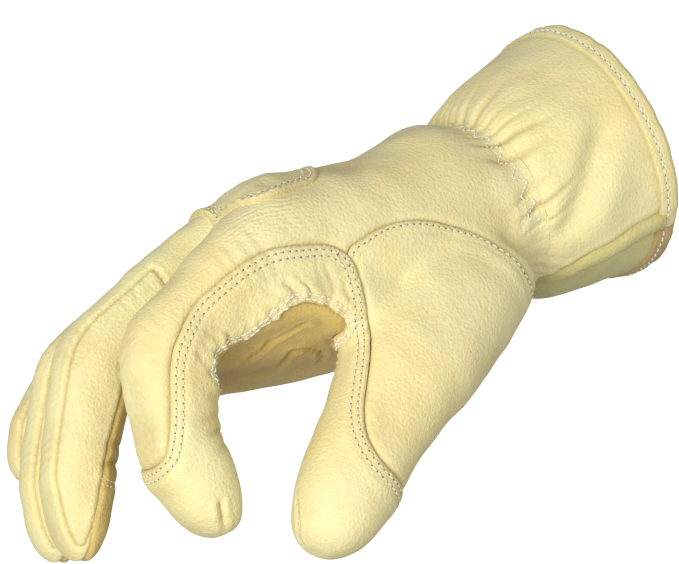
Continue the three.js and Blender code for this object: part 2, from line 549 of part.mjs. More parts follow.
// ---- the glove ----
const hemStart = 1 - HEM_WIDTH / CUFF_LENGTH;
const wristGap = SEAM_GAP / 2 / CUFF_LENGTH;
const shell = handSolid(0).subtract(handSolid(WALL));
const panels = {};
let rest = shell;
function takePanel(name, region) {
  panels[name] = largest(rest.intersect(region(0)));
  rest = rest.subtract(region(SEAM_GAP));
}
function largest(solid) {
  const bodies = solid.decompose();
  return bodies.reduce((best, body) => (body.volume() > best.volume() ? body : best));
}
takePanel('fourchette_index_middle', (margin) => fourchetteRegion(FINGERS.index, FINGERS.middle, margin));
takePanel('fourchette_middle_ring', (margin) => fourchetteRegion(FINGERS.middle, FINGERS.ring, margin));
takePanel('fourchette_ring_little', (margin) => fourchetteRegion(FINGERS.ring, FINGERS.little, margin));
takePanel('grip_panel', gripRegion);
takePanel('thumb_panel', thumbRegion);
takePanel('back_panel', backRegion);
panels.palm_panel = largest(rest);
panels.knuckle_patch = largest(patchSolid());

const cuff = cuffShell(wristGap, hemStart - SEAM_GAP / CUFF_LENGTH, WALL);
panels.cuff_front = cuff.intersect(frontWedge(CUFF_SEAM, 0));
panels.cuff_back = cuff.subtract(frontWedge(CUFF_SEAM, SEAM_GAP));
const hem = cuffShell(hemStart, 1, HEM_WALL);
panels.hem_front = hem.intersect(frontWedge(HEM_SEAM, 0));
panels.hem_back = hem.subtract(frontWedge(HEM_SEAM, SEAM_GAP));

// ---- materials ----
const CREAM = '#e8dba4';
const LEATHERS = {
  back_panel: CREAM,
  palm_panel: '#dccb92',
  grip_panel: '#eadca6',
  thumb_panel: '#e9d9a0',
  fourchette_index_middle: '#e3d69c',
  fourchette_middle_ring: '#e3d69c',
  fourchette_ring_little: '#e3d69c',
  knuckle_patch: '#e6d8a0',
  cuff_back: '#e6d9a2',
  cuff_front: '#ded39c',
  hem_back: '#e6da9f',
  hem_front: '#cdb586',
};
function geometryOf(solid) {
  const mesh = solid.getMesh();
  const geometry = new THREE.BufferGeometry();
  geometry.setAttribute('position', new THREE.Float32BufferAttribute(Array.from(mesh.vertProperties), 3));
  geometry.setIndex(Array.from(mesh.triVerts));
  return geometry;
}
const glove = new THREE.Group();
Object.entries(LEATHERS).forEach(([name, color]) => {
  const leather = new THREE.MeshStandardMaterial({ color, roughness: 0.62, metalness: 0 });
  const panel = new THREE.Mesh(geometryOf(panels[name]), leather);
  panel.name = name;
  glove.add(panel);
});
export default glove;
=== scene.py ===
# Leather utility glove, right hand, worn shape, for Blender. Millimetres until a piece is made.
import math
import bpy
import numpy as np
from mathutils import Vector, Matrix, kdtree
from mathutils.bvhtree import BVHTree


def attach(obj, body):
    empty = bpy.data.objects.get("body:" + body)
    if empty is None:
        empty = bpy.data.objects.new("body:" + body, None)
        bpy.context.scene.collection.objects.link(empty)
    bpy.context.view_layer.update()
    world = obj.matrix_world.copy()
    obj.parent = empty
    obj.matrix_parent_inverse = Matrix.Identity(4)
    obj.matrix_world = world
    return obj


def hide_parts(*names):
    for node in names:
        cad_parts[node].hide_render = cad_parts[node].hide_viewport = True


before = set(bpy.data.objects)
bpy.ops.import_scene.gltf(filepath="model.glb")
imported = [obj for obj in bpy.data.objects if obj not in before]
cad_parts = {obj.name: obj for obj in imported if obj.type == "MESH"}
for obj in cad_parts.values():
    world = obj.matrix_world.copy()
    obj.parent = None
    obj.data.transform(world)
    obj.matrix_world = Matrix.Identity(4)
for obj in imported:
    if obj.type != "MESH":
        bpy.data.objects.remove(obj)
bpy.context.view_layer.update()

# Sizes, the same as the solid part's
MM = 0.001
HAND_BEND = 12.5
HAND_TURN = -3.5
PALM_LENGTH = 86
PALM_WIDTH = 84
PALM_DEPTH = 54
WRIST_WIDTH = 66
WRIST_DEPTH = 54
FINGER_WIDTH = 24.4
THUMB_LENGTH = 106.7
THUMB_WIDTH = 28
WEB_SIZE = 19
CUFF_LENGTH = 44
MOUTH_WIDTH = 77.4
MOUTH_DEPTH = 77.6
HEM_WIDTH = 7.5
WALL = 1.6
VOXEL = 0.8
SKIN_IN = 0.25

# along, across, up, open, wide, deep, lean, roll, square
PALM = [
    (0.000, 0.000, -0.009, 0.00, 1.00, 1.00, 1.00, 0, 2.1),
    (0.095, 0.000, -0.015, 0.06, 1.00, 1.01, 0.65, -2, 2.1),
    (0.210, 0.000, -0.046, 0.22, 1.00, 1.055, 0.25, -4, 2.2),
    (0.350, 0.000, -0.111, 0.50, 1.00, 1.03, 0, -7, 2.3),
    (0.535, 0.000, -0.157, 0.78, 1.00, 1.00, 0, -10, 2.4),
    (0.720, 0.012, -0.167, 1.00, 1.00, 0.98, 0, -11, 2.5),
    (0.905, 0.024, -0.195, 1.00, 1.00, 0.90, -0.5, -12, 2.5),
    (1.070, 0.036, -0.250, 1.00, 0.98, 0.80, -1.1, -12, 2.5),
    (1.185, 0.048, -0.296, 1.00, 0.93, 0.63, -1.6, -12, 2.5),
]
FINGERS = {
    "index": dict(length=93, root=(0.943, -0.351, -0.009), bones=(0.458, 0.258, 0.284),
                  bends=(32.9, 51.3, 17.8), turn=1.7, wide=1.0, deep=1.0),
    "middle": dict(length=101, root=(0.993, -0.079, 0.030), bones=(0.456, 0.283, 0.261),
                   bends=(28.0, 38.6, 6.4), turn=-4.8, wide=0.926, deep=0.96),
    "ring": dict(length=95.5, root=(1.005, 0.182, -0.060), bones=(0.444, 0.280, 0.276),
                 bends=(25.0, 40.0, 8.3), turn=-5.8, wide=0.885, deep=0.92),
    "little": dict(length=72, root=(0.965, 0.429, -0.167), bones=(0.503, 0.252, 0.245),
                   bends=(17.3, 27.4, 7.2), turn=-6.6, wide=0.803, deep=0.84),
}
BEND_SPREAD = (0.85, 0.69, 0.54)
# at, wide, deep, sag
FINGER_SHAPE = [
    (-0.42, 0.70, 0.80, 0.14), (-0.20, 0.92, 1.02, 0.06), (0.00, 1.02, 1.10, 0.02),
    (0.10, 1.02, 1.07, 0.02), (0.20, 1.00, 1.04, 0.00), (0.30, 0.98, 0.99, 0.00),
    (0.38, 0.98, 0.99, 0.00), (0.46, 1.00, 1.01, -0.01), (0.54, 0.98, 0.98, 0.00),
    (0.62, 0.96, 0.94, 0.00), (0.70, 0.95, 0.91, 0.00), (0.78, 0.95, 0.90, 0.00),
    (0.86, 0.90, 0.80, 0.02), (0.92, 0.82, 0.69, 0.035), (0.96, 0.68, 0.54, 0.05),
    (0.985, 0.50, 0.38, 0.065), (1.00, 0.26, 0.20, 0.075),
]
THUMB = dict(root=(0.173, -0.235, -0.307), bones=(0.424, 0.290, 0.286), turns=(20.7, 12.0, 11.0),
             dips=(32.4, 42.9, 45.2), spread=0.6)
THUMB_BACK = np.array([0.49, -0.33, -0.8])
# at, wide, deep
THUMB_SHAPE = [
    (0.00, 1.11, 1.32), (0.10, 1.25, 1.39), (0.22, 1.29, 1.41), (0.33, 1.25, 1.41),
    (0.42, 1.18, 1.36), (0.50, 1.11, 1.23), (0.58, 1.04, 1.125), (0.66, 1.00, 1.05),
    (0.75, 0.965, 1.00), (0.82, 0.93, 0.95), (0.88, 0.86, 0.875), (0.93, 0.75, 0.75),
    (0.965, 0.61, 0.59), (0.99, 0.39, 0.375), (1.00, 0.21, 0.21),
]
# along, across, up, size
WEB = [
    (1.256, -0.369, -0.330, 0.85), (1.140, -0.369, -0.300, 1.00), (1.012, -0.369, -0.265, 1.10),
    (0.895, -0.369, -0.245, 1.15), (0.791, -0.369, -0.300, 1.15), (0.698, -0.363, -0.400, 1.15),
    (0.628, -0.357, -0.500, 1.05),
]
# at, up, wide, deep
CUFF = [
    (0.00, -0.006, 0.00, 0.00), (0.09, 0.000, 0.23, 0.27), (0.22, 0.004, 0.47, 0.47),
    (0.42, 0.010, 0.75, 0.675), (0.64, 0.018, 0.91, 0.82), (0.83, 0.022, 0.98, 0.935),
    (1.00, 0.022, 1.00, 1.00),
]
# seams as outlines in shares, seen from the thumb's side (along, up)
GRIP_EDGE = [
    (1.80, -1.05), (1.500, -1.000), (1.452, -0.785), (1.424, -0.567), (1.414, -0.513),
    (1.393, -0.431), (1.363, -0.372), (1.320, -0.290), (1.274, -0.226), (1.219, -0.185),
    (1.173, -0.148), (1.130, -0.115), (1.083, -0.090), (1.031, -0.066), (0.964, -0.058),
    (0.886, -0.072), (0.806, -0.085), (0.757, -0.135), (0.730, -0.210), (0.728, -0.300),
    (0.726, -0.400), (0.730, -0.552), (0.760, -0.644), (0.795, -0.750), (0.832, -0.848),
    (0.862, -0.935), (0.885, -1.065), (0.862, -1.200), (0.775, -1.354), (0.70, -1.60),
    (0.70, -2.30), (2.10, -2.30), (2.10, -1.30),
]
GRIP_DEEP_FROM = -0.574
GRIP_NEAR = -0.330
GRIP_WRAP = -0.205
WEB_ARCH = [
    (1.268, -0.563), (1.196, -0.467), (1.099, -0.444), (1.031, -0.407), (0.987, -0.365),
    (0.942, -0.345), (0.878, -0.374), (0.817, -0.431), (0.784, -0.495), (0.800, -0.560),
    (0.835, -0.660), (0.880, -0.720), (1.200, -0.720), (1.250, -0.620),
]
THUMB_EDGE = [
    (0.748, -0.130), (0.690, -0.104), (0.627, -0.065), (0.569, -0.048), (0.498, -0.052),
    (0.430, -0.069), (0.367, -0.106), (0.295, -0.154), (0.235, -0.207), (0.200, -0.269),
    (0.155, -0.346), (0.127, -0.428), (0.098, -0.500), (0.03, -0.85), (0.25, -2.30),
    (1.40, -2.30), (1.40, -1.40), (1.05, -1.10), (0.95, -0.80), (0.78, -0.56), (0.76, -0.35),
]
THUMB_FAR = -0.119
SIDE_SEAM = [(-1.0, -0.34), (-0.48, -0.30), (0.50, -0.19), (1.0, -0.12), (1.0, 2.0), (-1.0, 2.0)]
BACK_AT_WRIST = [(-0.20, -0.54), (0.12, -0.54), (0.30, -0.10), (-0.20, 0.0)]
WRIST_FAR = -0.10
BACK_OF_FINGER = {"index": -0.55, "middle": 0.0, "ring": 0.0, "little": -0.12}
# at, back, front
STRIP = [
    (0.06, 0.72, -0.62), (0.30, 0.74, -0.62), (0.50, 0.76, -0.60), (0.70, 0.78, -0.52),
    (0.84, 0.72, -0.38), (0.92, 0.58, -0.22), (0.965, 0.34, -0.08),
]
STRIP_START = 0.06
STRIP_END = 0.965
STRIP_INSIDE = 0.42
STRIP_BACK = {"index": 0.3, "middle": 1.0, "ring": 1.0, "little": 1.0}
PATCH_EDGE = [
    (0.665, -0.14), (0.680, -0.27), (0.724, -0.372), (0.806, -0.402), (0.921, -0.444),
    (1.000, -0.425), (1.035, -0.34), (1.045, -0.20), (1.050, -0.06), (1.045, 0.14),
    (1.020, 0.33), (0.960, 0.42), (0.860, 0.43), (0.760, 0.36), (0.690, 0.20), (0.665, 0.02),
]
PATCH_LOW = -0.25
SEAM_AT = (-0.2, 0.0, 0.12, 0.3, 0.6, 1.2)
CUFF_SEAM = dict(near=(256, 242, 233, 226, 221, 217), far=(284, 298, 307, 314, 319, 323))
HEM_SEAM = dict(near=229, far=325)

rng = np.random.default_rng(7)


# Small helpers
def smooth(t):
    t = np.clip(t, 0, 1)
    return t * t * (3 - 2 * t)


def unit(v):
    v = np.asarray(v, float)
    return v / np.maximum(np.linalg.norm(v, axis=-1, keepdims=True), 1e-9)


def bump_at(value, width):
    return np.exp(-(value / width) ** 2)


# a smooth curve through a table's column that never overshoots its rows
def eased(rows, column, at):
    x = np.array([r[0] for r in rows], float)
    y = np.array([r[column] for r in rows], float)
    step = np.diff(x)
    slope = np.diff(y) / step
    tangent = np.zeros(len(x))
    inner = np.zeros(len(x) - 2)
    same = slope[:-1] * slope[1:] > 0
    inner[same] = 2 * slope[:-1][same] * slope[1:][same] / (slope[:-1][same] + slope[1:][same])
    tangent[1:-1] = inner
    tangent[0] = slope[0]
    tangent[-1] = slope[-1]
    at = np.clip(np.asarray(at, float), x[0], x[-1])
    k = np.clip(np.searchsorted(x, at, side="right") - 1, 0, len(x) - 2)
    t = (at - x[k]) / step[k]
    a = (1 + 2 * t) * (1 - t) ** 2 * y[k] + t * t * (3 - 2 * t) * y[k + 1]
    b = t * (1 - t) ** 2 * tangent[k] + t * t * (t - 1) * tangent[k + 1]
    return a + b * step[k]


def hand_turn():
    b = math.radians(HAND_BEND)
    t = math.radians(HAND_TURN)
    bend = np.array([[math.cos(b), 0, math.sin(b)], [0, 1, 0], [-math.sin(b), 0, math.cos(b)]])
    turn = np.array([[math.cos(t), -math.sin(t), 0], [math.sin(t), math.cos(t), 0], [0, 0, 1]])
    return turn @ bend


TO_ROW = hand_turn()


def bent(points):
    return np.asarray(points, float) @ TO_ROW.T


def in_hand(points):
    return points @ TO_ROW


def palm_place(share):
    return np.array([-share[0] * PALM_LENGTH, share[1] * PALM_WIDTH, share[2] * PALM_DEPTH])


# smooth noise in space, from a few seeded waves of one size
def waves(points, size, seed, count=24):
    draw = np.random.default_rng(seed)
    total = np.zeros(len(points))
    for _ in range(count):
        way = unit(draw.normal(size=3)) * 2 * math.pi / (size * draw.uniform(0.7, 1.5))
        total += np.cos(points @ way + draw.uniform(0, 2 * math.pi))
    return total / math.sqrt(count / 2)


# Limbs: a centre line with its section at every place
def limb(at, place, side, up, way, wide, deep, square, length):
    return dict(at=at, place=place, side=side, up=up, way=way, wide=wide, deep=deep,
                square=square, length=length)


def finger_limb(name):
    f = FINGERS[name]
    turn = math.radians(f["turn"])
    ahead = np.array([-math.cos(turn), -math.sin(turn), 0])
    side = np.array([-math.sin(turn), math.cos(turn), 0])
    at = np.arange(-0.42, 1.0001, 0.01)
    fine = np.arange(-0.42, 1.0001, 0.0025)
    joints = np.array([0, f["bones"][0], f["bones"][0] + f["bones"][1]]) * f["length"]

    def angle(share):
        total = np.zeros(len(share))
        for joint, bend, spread in zip(joints, f["bends"], BEND_SPREAD):
            total += math.radians(bend) * smooth((share * f["length"] - joint)
                                                 / (spread * FINGER_WIDTH) + 0.5)
        return total

    def ways(share):
        a = angle(share)[:, None]
        return ahead * np.cos(a) + np.array([0, 0, -1]) * np.sin(a)

    steps = ways((fine[1:] + fine[:-1]) / 2) * 0.0025 * f["length"]
    run = np.vstack([[0, 0, 0], np.cumsum(steps, axis=0)])
    zero = np.array([np.interp(0, fine, run[:, k]) for k in range(3)])
    line = np.stack([np.interp(at, fine, run[:, k]) for k in range(3)], 1) - zero
    line = line + palm_place(f["root"])
    a = angle(at)[:, None]
    up = ahead * np.sin(a) + np.array([0, 0, 1]) * np.cos(a)
    line = line - up * eased(FINGER_SHAPE, 3, at)[:, None] * FINGER_WIDTH
    wide = eased(FINGER_SHAPE, 1, at) * f["wide"] * FINGER_WIDTH / 2
    deep = eased(FINGER_SHAPE, 2, at) * f["deep"] * FINGER_WIDTH / 2
    sides = np.tile(bent(side), (len(at), 1))
    return limb(at, bent(line), sides, bent(up), bent(ways(at)), wide, deep,
                np.full(len(at), 2.3), f["length"])


def thumb_limb():
    at = np.arange(0, 1.0001, 0.01)
    fine = np.arange(0, 1.0001, 0.0025)
    joints = np.array([THUMB["bones"][0], THUMB["bones"][0] + THUMB["bones"][1]]) * THUMB_LENGTH

    def ways(share):
        turn = np.full(len(share), THUMB["turns"][0])
        dip = np.full(len(share), THUMB["dips"][0])
        for k, joint in enumerate(joints):
            part = smooth((share * THUMB_LENGTH - joint) / (THUMB["spread"] * THUMB_WIDTH) + 0.5)
            turn = turn + (THUMB["turns"][k + 1] - THUMB["turns"][k]) * part
            dip = dip + (THUMB["dips"][k + 1] - THUMB["dips"][k]) * part
        t = np.radians(turn)
        d = np.radians(dip)
        return np.stack([-np.cos(d) * np.cos(t), -np.cos(d) * np.sin(t), -np.sin(d)], 1)

    steps = ways((fine[1:] + fine[:-1]) / 2) * 0.0025 * THUMB_LENGTH
    run = np.vstack([[0, 0, 0], np.cumsum(steps, axis=0)])
    line = np.stack([np.interp(at, fine, run[:, k]) for k in range(3)], 1)
    line = bent(line + palm_place(THUMB["root"]))
    way = bent(ways(at))
    up = unit(THUMB_BACK - way * (way @ THUMB_BACK)[:, None])
    side = np.cross(up, way)
    wide = eased(THUMB_SHAPE, 1, at) * THUMB_WIDTH / 2
    deep = eased(THUMB_SHAPE, 2, at) * THUMB_WIDTH / 2
    return limb(at, line, side, up, way, wide, deep, np.full(len(at), 2.2), THUMB_LENGTH)


def palm_limb():
    at = np.linspace(0, 1.185, 80)
    column = {k: eased(PALM, k, at) for k in range(1, 9)}
    lean = np.radians(-HAND_BEND * column[6])
    roll = np.radians(column[7])[:, None]
    side0 = np.tile([0.0, 1.0, 0.0], (len(at), 1))
    up0 = np.stack([np.sin(lean), np.zeros(len(at)), np.cos(lean)], 1)
    side = side0 * np.cos(roll) + up0 * np.sin(roll)
    up = up0 * np.cos(roll) - side0 * np.sin(roll)
    wide = (WRIST_WIDTH + (PALM_WIDTH - WRIST_WIDTH) * column[3]) * column[4] / 2
    deep = (WRIST_DEPTH + (PALM_DEPTH - WRIST_DEPTH) * column[3]) * column[5] / 2
    place = np.stack([-at * PALM_LENGTH, column[1] * PALM_WIDTH, column[2] * PALM_DEPTH], 1)
    way = unit(np.gradient(place, axis=0))
    return limb(at, bent(place), bent(side), bent(up), bent(way), wide, deep, column[8], PALM_LENGTH)


def web_limb():
    rows = np.array(WEB)
    at = np.linspace(0, 1, 40)
    key = np.linspace(0, 1, len(rows))
    table = [(k, *row) for k, row in zip(key, rows)]
    shares = np.stack([eased(table, c, at) for c in (1, 2, 3)], 1)
    place = bent(shares * [-PALM_LENGTH, PALM_WIDTH, PALM_DEPTH])
    way = unit(np.gradient(place, axis=0))
    side = unit(np.cross(way, np.cross(np.tile([0.0, 1.0, 0.0], (len(at), 1)), way)))
    up = np.cross(way, side)
    half = eased(table, 4, at) * WEB_SIZE / 2
    return limb(at, place, side, up, way, half, half, np.full(len(at), 2.0), 60)


# The whole hand as one even skin
def ring_of(middle, side, up, wide, deep, square, sides):
    t = 2 * math.pi * (np.arange(sides) + 0.5) / sides
    u = np.sign(np.cos(t)) * np.abs(np.cos(t)) ** (2 / square) * wide
    v = np.sign(np.sin(t)) * np.abs(np.sin(t)) ** (2 / square) * deep
    return middle + np.outer(u, side) + np.outer(v, up)


def tube_mesh(rings):
    sides = len(rings[0])
    points = np.vstack(rings + [rings[0].mean(0)[None], rings[-1].mean(0)[None]])
    faces = []
    first = len(rings) * sides
    last = (len(rings) - 1) * sides
    for k in range(sides):
        n = (k + 1) % sides
        for i in range(len(rings) - 1):
            a = i * sides
            b = a + sides
            faces.append((a + k, a + n, b + n))
            faces.append((a + k, b + n, b + k))
        faces.append((first, n, k))
        faces.append((first + 1, last + k, last + n))
    return points, np.array(faces)


def limb_mesh(one, sides, before=()):
    rings = list(before)
    for k in range(len(one["at"])):
        rings.append(ring_of(one["place"][k], one["side"][k], one["up"][k], one["wide"][k],
                             one["deep"][k], one["square"][k], sides))
    return tube_mesh(rings)


def cuff_ring(at, angles):
    wide = (WRIST_WIDTH + (MOUTH_WIDTH - WRIST_WIDTH) * eased(CUFF, 2, at)) / 2
    deep = (WRIST_DEPTH + (MOUTH_DEPTH - WRIST_DEPTH) * eased(CUFF, 3, at)) / 2
    power = 2 / 2.1
    u = np.sign(np.cos(angles)) * np.abs(np.cos(angles)) ** power * wide
    v = np.sign(np.sin(angles)) * np.abs(np.sin(angles)) ** power * deep
    height = eased(CUFF, 1, at) * MOUTH_DEPTH
    return np.stack([np.full(len(angles), at * CUFF_LENGTH), u, v + height], 1)


def object_of(name, points, faces):
    mesh = bpy.data.meshes.new(name)
    mesh.from_pydata(np.asarray(points, float).tolist(), [], np.asarray(faces).tolist())
    mesh.update()
    thing = bpy.data.objects.new(name, mesh)
    bpy.context.scene.collection.objects.link(thing)
    return thing


def even_skin(meshes, size):
    points = []
    faces = []
    count = 0
    for p, f in meshes:
        points.append(p)
        faces.append(f + count)
        count += len(p)
    raw = object_of("raw", np.vstack(points), np.vstack(faces))
    change = raw.modifiers.new("even", "REMESH")
    change.mode = "VOXEL"
    change.voxel_size = size
    shown = raw.evaluated_get(bpy.context.evaluated_depsgraph_get())
    mesh = shown.to_mesh()
    co = np.zeros(len(mesh.vertices) * 3)
    mesh.vertices.foreach_get("co", co)
    mesh.calc_loop_triangles()
    tri = np.zeros(len(mesh.loop_triangles) * 3, int)
    mesh.loop_triangles.foreach_get("vertices", tri)
    shown.to_mesh_clear()
    bpy.data.objects.remove(raw)
    return co.reshape(-1, 3), tri.reshape(-1, 3)


def edges_of(faces):
    pairs = np.vstack([faces[:, [0, 1]], faces[:, [1, 2]], faces[:, [2, 0]]])
    return np.unique(np.sort(pairs, axis=1), axis=0)


def relaxed(points, edges, weight, times, strength=0.5):
    count = np.bincount(edges.ravel(), minlength=len(points)).astype(float)
    count = np.maximum(count, 1)
    a = edges[:, 0]
    b = edges[:, 1]
    for _ in range(times):
        move = np.empty_like(points)
        for k in range(points.shape[1]):
            total = np.bincount(a, points[b, k], len(points)) + np.bincount(b, points[a, k], len(points))
            move[:, k] = total / count - points[:, k]
        points = points + move * (strength * weight)[:, None]
    return points


def calm(points, edges, times):
    one = np.ones(len(points))
    for _ in range(times):
        points = relaxed(points, edges, one, 1, 0.5)
        points = relaxed(points, edges, one, 1, -0.52)
    return points


def normals_of(points, faces):
    flat = np.cross(points[faces[:, 1]] - points[faces[:, 0]], points[faces[:, 2]] - points[faces[:, 0]])
    total = np.zeros_like(points)
    for c in range(3):
        for k in range(3):
            total[:, k] += np.bincount(faces[:, c], flat[:, k], len(points))
    return unit(total)


# share along, place across, place above and distance out of the skin, for every point
def measured(one, points):
    near = (one["place"] ** 2).sum(1)[None] - 2 * points @ one["place"].T
    k = near.argmin(1)
    off = points - one["place"][k]
    raw = one["at"][k] + (off * one["way"][k]).sum(1) / one["length"]
    share = np.clip(raw, one["at"][0], one["at"][-1])
    past = np.abs(raw - share) * one["length"]

    def between(values):
        if values.ndim == 1:
            return np.interp(share, one["at"], values)
        return np.stack([np.interp(share, one["at"], values[:, c]) for c in range(3)], 1)

    off = points - between(one["place"])
    u = (off * between(one["side"])).sum(1)
    v = (off * between(one["up"])).sum(1)
    a = between(one["wide"])
    b = between(one["deep"])
    power = between(one["square"])
    rho = ((np.abs(u) / a) ** power + (np.abs(v) / b) ** power) ** (1 / power)
    reach = np.hypot(u, v)
    out = reach * (1 - 1 / np.maximum(rho, 1e-3))
    out = np.where(past > 0.3, np.hypot(np.maximum(out, 0), past), out)
    return dict(share=share, u=u / a, v=v / b, out=out, wide=a, deep=b)


# signed distance to a closed outline, negative inside
def outline_distance(p, outline):
    outline = np.asarray(outline, float)
    best = np.full(len(p), 1e9)
    inside = np.zeros(len(p), bool)
    for i in range(len(outline)):
        a = outline[i]
        b = outline[(i + 1) % len(outline)]
        ab = b - a
        t = np.clip(((p - a) @ ab) / max(ab @ ab, 1e-9), 0, 1)
        best = np.minimum(best, ((p - a - t[:, None] * ab) ** 2).sum(1))
        crosses = (a[1] > p[:, 1]) != (b[1] > p[:, 1])
        if a[1] != b[1]:
            x = (b[0] - a[0]) * (p[:, 1] - a[1]) / (b[1] - a[1]) + a[0]
            inside ^= crosses & (p[:, 0] < x)
    return np.sqrt(best) * np.where(inside, -1, 1)


# an outline with its corners rounded off
def rounded(outline, times=2):
    points = np.asarray(outline, float)
    for _ in range(times):
        after = np.roll(points, -1, axis=0)
        points = np.stack([points * 0.75 + after * 0.25, points * 0.25 + after * 0.75], 1).reshape(-1, 2)
    return points


# Triangle meshes with values at every point
def parted(points, faces, data, key):
    value = data[key].copy()
    edges = edges_of(faces)
    a = edges[:, 0]
    b = edges[:, 1]
    cross = value[a] * value[b] < 0
    a = a[cross]
    b = b[cross]
    t = value[a] / (value[a] - value[b])
    near = np.minimum(t, 1 - t)
    order = np.argsort(-near)
    order = order[near[order] < 0.25]
    moved = np.where(t < 0.5, a, b)[order]
    other = np.where(t < 0.5, b, a)[order]
    share = near[order][:, None]
    points = points.copy()
    points[moved] = points[moved] + (points[other] - points[moved]) * share
    value[moved] = 0
    data = dict(data)
    data[key] = value
    sign = np.sign(value).astype(int)
    cross = sign[edges[:, 0]] * sign[edges[:, 1]] < 0
    cut = edges[cross]
    t = value[cut[:, 0]] / (value[cut[:, 0]] - value[cut[:, 1]])
    first = len(points)
    total = first + len(cut)

    def between(values):
        shape = (-1,) + (1,) * (values.ndim - 1)
        w = t.reshape(shape)
        return np.concatenate([values, values[cut[:, 0]] * (1 - w) + values[cut[:, 1]] * w])

    points = between(points)
    data = {k: between(v) for k, v in data.items()}
    data[key][first:] = 0
    code = cut[:, 0].astype(np.int64) * total + cut[:, 1]
    order = np.argsort(code)
    code = code[order]

    def middle(p, q):
        want = np.minimum(p, q).astype(np.int64) * total + np.maximum(p, q)
        k = np.searchsorted(code, want)
        return first + order[k]

    s = sign[faces]
    made = [faces[(s.max(1) * s.min(1)) >= 0]]
    for c in range(3):
        i = faces[:, c]
        j = faces[:, (c + 1) % 3]
        k = faces[:, (c + 2) % 3]
        si, sj, sk = sign[i], sign[j], sign[k]
        alone = (si * sj < 0) & (si * sk < 0)
        x, y, z = i[alone], j[alone], k[alone]
        p = middle(x, y)
        q = middle(x, z)
        made += [np.stack([x, p, q], 1), np.stack([p, y, z], 1), np.stack([p, z, q], 1)]
        through = (si == 0) & (sj * sk < 0)
        x, y, z = i[through], j[through], k[through]
        p = middle(y, z)
        made += [np.stack([x, y, p], 1), np.stack([x, p, z], 1)]
    faces = np.vstack(made)
    side = data[key][faces].sum(1)
    return trimmed(points, faces[side < 0], data), trimmed(points, faces[side >= 0], data)


def trimmed(points, faces, data):
    used = np.unique(faces)
    place = np.zeros(len(points), int)
    place[used] = np.arange(len(used))
    return points[used], place[faces], {k: v[used] for k, v in data.items()}


# The triangles that a patch of skin has to pass to count as large
LEAST_PANEL = 250


# keeps the large patches of a mesh and drops its crumbs
def main_patches(points, faces, data):
    label = np.arange(len(points))
    edges = edges_of(faces)
    for _ in range(400):
        low = np.minimum(label[edges[:, 0]], label[edges[:, 1]])
        new = label.copy()
        np.minimum.at(new, edges[:, 0], low)
        np.minimum.at(new, edges[:, 1], low)
        new = new[new]
        if (new == label).all():
            break
        label = new
    count = np.bincount(label[faces[:, 0]], minlength=len(points))
    return trimmed(points, faces[count[label[faces[:, 0]]] > LEAST_PANEL], data)


def rim_edges(faces):
    pairs = np.vstack([faces[:, [0, 1]], faces[:, [1, 2]], faces[:, [2, 0]]])
    ordered = np.sort(pairs, axis=1)
    _, index, count = np.unique(ordered, axis=0, return_index=True, return_counts=True)
    return pairs[index[count == 1]]


def rim_samples(points, faces):
    rim = rim_edges(faces)
    a = points[rim[:, 0]]
    b = points[rim[:, 1]]
    return np.vstack([a + (b - a) * t for t in (0, 0.25, 0.5, 0.75)])


def tree_of(points):
    tree = kdtree.KDTree(len(points))
    for i, p in enumerate(points):
        tree.insert(p, i)
    tree.balance()
    return tree


def distances(tree, points):
    found = [tree.find(p) for p in points]
    return np.array([f[2] for f in found]), np.array([f[1] for f in found])


# a skin with a thickness and a rounded rim, from an open sheet
def thick(points, faces, normals, wall, roll=0.3):
    rim = rim_edges(faces)
    under = points - normals * wall
    along = points[rim[:, 1]] - points[rim[:, 0]]
    out = np.zeros_like(points)
    ways = np.cross(along, normals[rim[:, 0]] + normals[rim[:, 1]])
    np.add.at(out, rim[:, 0], unit(ways))
    np.add.at(out, rim[:, 1], unit(ways))
    on_rim = np.unique(rim)
    out = unit(out[on_rim])
    count = len(points)
    index = np.zeros(count, int)
    index[on_rim] = np.arange(len(on_rim))
    high = points[on_rim] - normals[on_rim] * wall * 0.22 + out * wall * roll * 0.8
    mid = points[on_rim] - normals[on_rim] * wall * 0.5 + out * wall * roll
    low = points[on_rim] - normals[on_rim] * wall * 0.78 + out * wall * roll * 0.8
    rows = [rim, index[rim] + 2 * count, index[rim] + 2 * count + len(on_rim),
            index[rim] + 2 * count + 2 * len(on_rim), rim + count]
    walls = []
    for p, q in zip(rows[:-1], rows[1:]):
        walls.append(np.stack([p[:, 1], p[:, 0], q[:, 0]], 1))
        walls.append(np.stack([p[:, 1], q[:, 0], q[:, 1]], 1))
    all_points = np.vstack([points, under, high, mid, low])
    all_faces = np.vstack([faces, faces[:, ::-1] + count] + walls)
    return all_points, all_faces


# Lines on a skin, and what is sewn along them
def level_lines(points, faces, value, level):
    value = value - level
    value = np.where(np.abs(value) < 1e-6, 1e-6, value)
    high = value > 0
    mixed = faces[(high[faces].sum(1) % 3) != 0]
    links = {}
    place = {}
    for tri in mixed:
        ends = []
        for a, b in ((0, 1), (1, 2), (2, 0)):
            i, j = int(tri[a]), int(tri[b])
            if high[i] != high[j]:
                key = (min(i, j), max(i, j))
                ends.append(key)
                if key not in place:
                    t = value[key[0]] / (value[key[0]] - value[key[1]])
                    place[key] = points[key[0]] * (1 - t) + points[key[1]] * t
        links.setdefault(ends[0], []).append(ends[1])
        links.setdefault(ends[1], []).append(ends[0])
    return chained(links, place)


